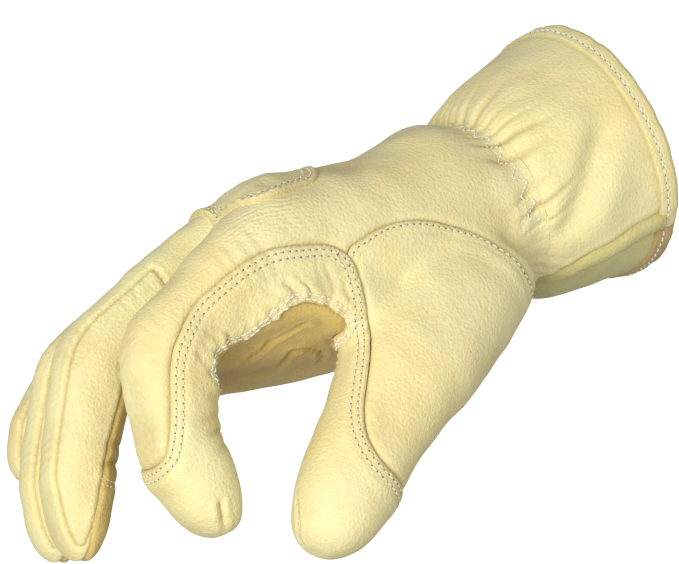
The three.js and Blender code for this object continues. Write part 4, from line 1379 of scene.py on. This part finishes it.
# fine lines in the grain: place across them in mm and how strong they are
def grain_lines(name, p, d):
    hand = in_hand(p)
    if name == "back_panel":
        away = np.linalg.norm(hand - palm_place((0.97, -0.45, 0.08)), axis=1)
        return d["to grip_panel"], np.exp(-(away / 17) ** 4)
    if name == "fourchette_index_middle":
        away = np.linalg.norm(hand - palm_place((1.24, -0.17, -0.02)), axis=1)
        return hand[:, 0] + 0.6 * hand[:, 2], 0.8 * np.exp(-(away / 13) ** 2)
    if name == "grip_panel":
        return hand[:, 0] - 0.5 * hand[:, 2], 0.7 * np.exp(-((d["to palm_panel"] - 3) / 4) ** 2)
    return None


for panel_name, (p, f, d) in panels.items():
    way = normals_of(p, f)
    skins[panel_name] = (p, f, d, Skin(p, f))
    solid_points, solid_faces = thick(p, f, way, WALL, 0.15)
    # painted shade on the outer surface from seams and folds; the inner surface, inside the glove, gets an
    # even half share of painted shade
    painted_shade = seam_and_fold_painted_shade(d)
    full = np.zeros(len(solid_points))
    full[:len(painted_shade)] = painted_shade
    full[len(painted_shade):2 * len(painted_shade)] = 0.5
    finish, its_slot = FINISH[panel_name]
    lines = grain_lines(panel_name, p, d)
    if lines is not None:
        lines = [np.resize(values, len(solid_points)) for values in lines]
    piece(panel_name + "_skin", solid_points, solid_faces, finish, [panel_name], 55, full, lines)


def sew_rows(panel_name, other, levels, **how):
    p, f, d, skin = skins[panel_name]
    key = "to " + other
    if key not in d:
        return
    for level in levels:
        for line in level_lines(p, f, d[key], level):
            sew(line, skin, **how)


for neighbour in ("back_panel", "thumb_panel"):
    sew_rows("grip_panel", neighbour, (1.5, 3.3))
sew_rows("grip_panel", "palm_panel", (1.3, 2.7), pitch=1.9, length=0.92, holes=False, kind="white")
sew_rows("thumb_panel", "back_panel", (1.3,))


# Knuckle patch, a padded piece sewn on top with two rows of stitches at these distances from its edge
PATCH_ROWS = (2.0, 4.0)


def knuckle_patch():
    data = dict(base_data)
    inside, _ = parted(base_points, base_faces, data, "patch")
    points, faces, data = main_patches(*inside)
    d, _ = distances(tree_of(rim_samples(points, faces)), points)
    points = relaxed(points, edges_of(faces), smooth(d / 3), 60, 0.6)
    share = -in_hand(points)[:, 0] / PALM_LENGTH
    fuller = smooth((share - 0.70) / 0.17)
    height = 0.35 + 1.15 * np.sqrt(np.clip(d / 1.0, 0, 1)) + (0.3 + 1.7 * fuller) * smooth((d - 4.2) / 9)
    height *= 0.50 + 0.65 * fuller
    height += 0.25 * bump_at(d - 0.9, 0.6)
    for row in PATCH_ROWS:
        height -= 0.30 * bump_at(d - row, 0.5)
    height += 0.12 * waves(points, 9, 11) * smooth(d / 4)
    points = points + data["normal"] * height[:, None]
    way = normals_of(points, faces)
    skin = Skin(points, faces)
    for row in PATCH_ROWS:
        for line in level_lines(points, faces, d, row):
            sew(line, skin, pitch=2.3, length=0.78)
    solid_points, solid_faces = thick(points, faces, way, 1.2, 0.4)
    # painted shade along the patch's rim and, fainter, in the stitched band between its two rows; the
    # inner surface gets none
    painted_shade = np.zeros(len(solid_points))
    painted_shade[:len(d)] = 0.5 * bump_at(d, 0.7) + 0.3 * bump_at(d - 3.0, 0.5)
    return piece("knuckle_patch_skin", solid_points, solid_faces, patch_cream,
                 ["knuckle_patch"], 60, painted_shade)


# Cuff
# the long soft fold: place along the cuff in mm, angle in degrees
VALLEY = [(3.0, 212), (13.4, 193), (22.3, 178), (31.0, 168)]


def cuff_seam_angle(seam, along):
    return np.interp(along / CUFF_LENGTH, SEAM_AT, seam)


# The cuff's middling radius, and the power of its section: 2 is an ellipse, more is squarer
CUFF_RADIUS = 37
CUFF_ROUND = 2.1


def cuff_surface(along, angle):
    shape = along.shape
    t = np.radians(angle.ravel())
    at = np.clip(along.ravel() / CUFF_LENGTH, 0, 1)
    wide = (WRIST_WIDTH + (MOUTH_WIDTH - WRIST_WIDTH) * eased(CUFF, 2, at)) / 2
    deep = (WRIST_DEPTH + (MOUTH_DEPTH - WRIST_DEPTH) * eased(CUFF, 3, at)) / 2
    c = np.cos(t)
    s = np.sin(t)
    reach = 1 / ((np.abs(c) / wide) ** CUFF_ROUND + (np.abs(s) / deep) ** CUFF_ROUND) ** (1 / CUFF_ROUND)
    middle = eased(CUFF, 1, at) * MOUTH_DEPTH
    dent = np.zeros(len(t))
    flat = np.stack([along.ravel(), t * CUFF_RADIUS, np.zeros(len(t))], 1)
    run = [(x, math.radians(a) * CUFF_RADIUS, 0) for x, a in VALLEY]
    far, where = run_distance(flat, run)
    taper = smooth(where / 0.12 + 0.25) * smooth((1 - where) / 0.3)
    dent += taper * (2.0 * bump_at(far, 4.2) - 0.7 * bump_at(far - 9, 5))
    opposite = bump_at(angle.ravel() - 20, 24) * bump_at(at - 0.45, 0.3) * 1.1
    dent += opposite
    reach = reach - dent
    reach = reach + wrist_gathers(angle.ravel() % 360, along.ravel()) + wrist_waist(along.ravel())
    spots = np.stack([along.ravel(), reach * c, middle + reach * s], 1)
    soft = waves(spots, 24, 21) * 0.28 + waves(spots, 9, 22) * 0.06
    soft *= smooth(at / 0.2)
    out = np.stack([np.zeros(len(t)), c, s], 1)
    spots = spots + out * (soft - SKIN_IN)[:, None]
    return spots.reshape(*shape, 3)


def grid_faces(rows, columns, closed=False):
    faces = []
    last = columns if closed else columns - 1
    i, k = np.meshgrid(np.arange(rows - 1), np.arange(last), indexing="ij")
    a = (i * columns + k).ravel()
    b = (i * columns + (k + 1) % columns).ravel()
    c = a + columns
    d = b + columns
    faces.append(np.stack([a, b, d], 1))
    faces.append(np.stack([a, d, c], 1))
    return np.vstack(faces)


CUFF_END = CUFF_LENGTH - HEM_WIDTH
CUFF_RINGS = 84
HEM_ROW = 2.9


def cuff_panel(node, front, finish, columns):
    along = np.linspace(0.0, CUFF_END + 1.5, CUFF_RINGS)[:, None] * np.ones((1, columns))
    near = cuff_seam_angle(CUFF_SEAM["near"], along[:, :1])
    far = cuff_seam_angle(CUFF_SEAM["far"], along[:, :1])
    t = np.linspace(0, 1, columns)[None]
    if front:
        angle = near + (far - near) * t
    else:
        angle = far - 360 + (near - far + 360) * t
    spots = cuff_surface(along, angle)
    arm = np.minimum(np.abs(angle - angle[:, :1]), np.abs(angle - angle[:, -1:]))
    d = np.radians(arm) * 36
    if front:
        lift = 1.6 * np.sin(np.clip(d / 6.5, 0, 1) * math.pi) ** 0.6 - 0.5 * bump_at(d, 0.5)
        lift -= 0.5 * bump_at(d - 7.2, 1.2)
    else:
        lift = -0.45 * bump_at(d, 0.7) + 0.2 * bump_at(d - 2.2, 1.2)
    lift = lift * smooth(along / 8)
    points = spots.reshape(-1, 3)
    faces = grid_faces(CUFF_RINGS, columns)
    way = normals_of(points, faces)
    outward = points * [0, 1, 1]
    if (way * outward).sum() < 0:
        faces = faces[:, ::-1]
        way = -way
    points = points + way * lift.reshape(-1, 1)
    way = normals_of(points, faces)
    solid_points, solid_faces = thick(points, faces, way, WALL, 0.06)
    # painted shade: darker in the gathers' folds, along the side seams and just under the hem; the inner
    # surface gets an even painted shade
    painted_shade = np.zeros(len(solid_points))
    pull = wrist_gathers(angle.ravel() % 360, along.ravel())
    first = np.clip(-pull * 0.6, 0, 0.85) + 0.35 * bump_at(d.ravel(), 0.6)
    first += 0.35 * bump_at(along.ravel() - CUFF_END - 0.2, 1.0)
    painted_shade[:len(first)] = np.clip(first, 0, 1)
    painted_shade[len(first):2 * len(first)] = 0.45
    piece(node + "_skin", solid_points, solid_faces, finish, [node], 60, painted_shade)
    return points, faces


# the turned edge: its section as places along and out, walked round
def hem_piece(node, angles, finish):
    start = CUFF_END
    profile = []
    wide = HEM_WIDTH
    for t in np.radians(np.linspace(-90, 0, 5)):
        profile.append((start + 0.9 + 0.9 * math.sin(t), 0.9 * math.cos(t) - 0.25))
    for x in np.linspace(1.6, wide - 1.6, 12):
        profile.append((start + x, 0.65 + 0.15 * math.sin(x / wide * math.pi)))
    for t in np.radians(np.linspace(0, 180, 9)):
        profile.append((start + wide - 1.5 + 1.5 * math.sin(t), -0.85 + 1.5 * math.cos(t)))
    for x in np.linspace(wide - 2.2, 0.6, 8):
        profile.append((start + x, -2.3))
    profile = np.array(profile)
    count = len(angles)
    rows = len(profile)
    points = np.zeros((rows, count, 3))
    for i, (x, out) in enumerate(profile):
        along = np.full((1, count), x)
        spots = cuff_surface(along, angles[None])[0]
        t = np.radians(angles)
        way = np.stack([np.zeros(count), np.cos(t), np.sin(t)], 1)
        ripple = 0.10 * np.sin(t * 23 + 1) + 0.07 * np.sin(t * 41 + 2)
        groove = 0.28 * math.exp(-((x - start - HEM_ROW) / 0.6) ** 2) if out > 0 else 0
        points[i] = spots + way * (out + ripple - groove)[:, None]
    faces = grid_faces(rows, count)
    last = (rows - 1) * count
    k = np.arange(count - 1)
    closing = [np.stack([last + k, last + k + 1, k + 1], 1), np.stack([last + k, k + 1, k], 1)]
    faces = np.vstack([faces, *closing])
    caps = []
    for column, flip in ((0, False), (count - 1, True)):
        ring = np.arange(rows) * count + column
        for i in range(1, rows - 1):
            tri = (ring[0], ring[i], ring[i + 1])
            caps.append(tri[::-1] if flip else tri)
    faces = np.vstack([faces, np.array(caps)])
    flat = points.reshape(-1, 3)
    volume = np.einsum("ij,ij->i", flat[faces[:, 0]], np.cross(flat[faces[:, 1]], flat[faces[:, 2]])).sum()
    if volume < 0:
        faces = faces[:, ::-1]
    # painted shade on the first rows, where the hem tucks under against the cuff
    painted_shade = np.zeros(len(flat))
    painted_shade[:3 * count] = 0.5
    piece(node + "_skin", flat, faces, finish, [node], 70, painted_shade)
    skin = Skin(flat, faces)
    row = int(np.argmin(np.abs(profile[:17, 0] - start - HEM_ROW)))
    line = points[row, 2:-2]
    sew(line, skin, pitch=2.4, length=0.75, thick_by=0.3, kind="white")


patch = knuckle_patch()
back_points, back_faces = cuff_panel("cuff_back", False, cuff_cream, 330)
# the cuff's front piece, coloured with painted shade
cuff_panel("cuff_front", True, cuff_front_in_shade, 110)
hem_back_angles = np.linspace(HEM_SEAM["far"] - 360, HEM_SEAM["near"], 300)
hem_front_angles = np.linspace(HEM_SEAM["near"] + 0.3, HEM_SEAM["far"] - 0.3, 130)
hem_piece("hem_back", hem_back_angles, hem_cream)
# the hem's front part, coloured with painted shade
hem_piece("hem_front", hem_front_angles, hem_front_in_shade)


# short rows that hold the caps of the fingertips, in the palm's shares
CAP_ROWS = [
    [(1.586, -0.146, -0.951), (1.575, -0.141, -0.953), (1.558, -0.134, -0.968), (1.530, -0.100, -0.989)],
    [(1.586, -0.144, -0.974), (1.565, -0.133, -0.995), (1.537, -0.101, -1.016)],
    [(1.098, -0.484, -1.240), (1.115, -0.497, -1.298), (1.128, -0.505, -1.360), (1.130, -0.494, -1.430)],
]


def cap_stitches():
    both = [skins[n] for n in ("fourchette_index_middle", "palm_panel", "back_panel", "grip_panel")]
    at = 0
    spots = []
    faces = []
    for p, f, _, _ in both:
        spots.append(p)
        faces.append(f + at)
        at += len(p)
    skin = Skin(np.vstack(spots), np.vstack(faces))
    for row in CAP_ROWS:
        line = np.array([bent(palm_place(share)) for share in row])
        sew(line, skin, pitch=1.5, thick_by=0.18, holes=False)


# Degrees round the wrist between which the elastic's zigzag runs
ZIGZAG_START = -8.0
ZIGZAG_END = 202


# zigzag stitches over the wrist's elastic
def zigzag():
    p, f, _, _ = skins["back_panel"]
    both = np.vstack([p, back_points])
    faces = np.vstack([f, back_faces + len(p)])
    skin = Skin(both, faces)
    corners = []
    angle = ZIGZAG_START
    side = 1
    while angle < ZIGZAG_END:
        corners.append((-3.8 + 2.1 * side + rng.normal(0, 0.15), angle))
        angle += 6.2 if side > 0 else 4.6
        side = -side
    for a, b in zip(corners[:-1], corners[1:]):
        t = np.linspace(0.04, 0.96, 15)
        x = a[0] + (b[0] - a[0]) * t
        angles = a[1] + (b[1] - a[1]) * t
        spots = cuff_surface(np.maximum(x, 0.2)[None], angles[None])[0]
        spots[:, 0] = x
        sew(spots, skin, pitch=1.5, length=0.86, thick_by=0.24, holes=False, exact=True, kind="white")


zigzag()
cap_stitches()
points, faces = thread_mesh("plain")
piece("stitching", points, faces, thread, sharp=80)
points, faces = thread_mesh("white")
piece("white_stitching", points, faces, white_thread, sharp=80)
points, faces = hole_shade_mesh()
piece("needle_hole_shade_discs", points, faces, needle_hole_shade, sharp=80)


# Camera, light and floor; the camera was fitted to the photograph's view
PICTURE_WIDTH = 679
FOCAL_PIXELS = 2610.7
CAMERA_YAW = 29.12
CAMERA_PITCH = 2.08
CAMERA_ROLL = 24.8
CAMERA_TARGET = (-57.92, -10, -1.34)
CAMERA_DISTANCE = 724.9
SENSOR = 36
KEY_POWER = 16.5
FILL_POWER = 4.0
SKY = 0.32
FLOOR_LEVEL = -1.1


def camera():
    data = bpy.data.cameras.new("camera")
    data.sensor_width = SENSOR
    data.lens = FOCAL_PIXELS / PICTURE_WIDTH * SENSOR
    data.clip_start = 0.05
    data.clip_end = 60
    thing = bpy.data.objects.new("camera", data)
    yaw = math.radians(CAMERA_YAW)
    pitch = math.radians(CAMERA_PITCH)
    roll = math.radians(CAMERA_ROLL)
    ahead = Vector((math.sin(yaw) * math.cos(pitch), math.cos(yaw) * math.cos(pitch), -math.sin(pitch)))
    right0 = Vector((math.cos(yaw), -math.sin(yaw), 0))
    up0 = right0.cross(ahead)
    right = right0 * math.cos(roll) - up0 * math.sin(roll)
    up = up0 * math.cos(roll) + right0 * math.sin(roll)
    spot = Vector(CAMERA_TARGET) - ahead * CAMERA_DISTANCE
    thing.matrix_world = Matrix((
        (right[0], up[0], -ahead[0], spot[0] * MM),
        (right[1], up[1], -ahead[1], spot[1] * MM),
        (right[2], up[2], -ahead[2], spot[2] * MM),
        (0, 0, 0, 1)))
    bpy.context.scene.collection.objects.link(thing)
    bpy.context.scene.camera = thing
    return right, up, ahead


def soft_box(name, place, at, size, power, colour=(1, 1, 1)):
    data = bpy.data.lights.new(name, "AREA")
    data.shape = "RECTANGLE"
    data.size = size[0]
    data.size_y = size[1]
    data.energy = power
    data.color = colour
    thing = bpy.data.objects.new(name, data)
    thing.location = place
    thing.rotation_mode = "QUATERNION"
    thing.rotation_quaternion = (Vector(at) - Vector(place)).to_track_quat("-Z", "Y")
    bpy.context.scene.collection.objects.link(thing)


def studio():
    right, up, ahead = camera()
    centre = Vector((-0.05, 0, 0))
    key = centre - right * 0.50 - up * 0.02 - ahead * 1.2
    soft_box("key_light", key, centre, (0.7, 0.7), KEY_POWER)
    fill = centre + right * 1.1 + up * 0.1 - ahead * 0.9
    soft_box("fill_light", fill, centre, (1.0, 1.0), FILL_POWER)
    world = bpy.data.worlds.new("studio")
    world.use_nodes = True
    world.node_tree.nodes["Background"].inputs["Color"].default_value = (1, 1, 1, 1)
    world.node_tree.nodes["Background"].inputs["Strength"].default_value = SKY
    bpy.context.scene.world = world
    bpy.context.scene.view_settings.view_transform = "Standard"
    corners = [(x, y, FLOOR_LEVEL) for x, y in ((-6, -6), (6, -6), (6, 6), (-6, 6))]
    floor = object_of("floor", corners, [(0, 1, 2), (0, 2, 3)])
    floor.data.materials.append(floor_finish())
    wide = Vector((ahead[1], -ahead[0], 0)).normalized() * 1.6
    tall = Vector((0, 0, 1.2))
    far = centre + ahead * 5
    corners = [far - wide - tall, far + wide - tall, far + wide + tall, far - wide + tall]
    screen = object_of("white_screen", [c[:] for c in corners], [(0, 1, 2), (0, 2, 3)])
    screen.data.materials.append(screen_finish())
    screen.visible_diffuse = False


studio()
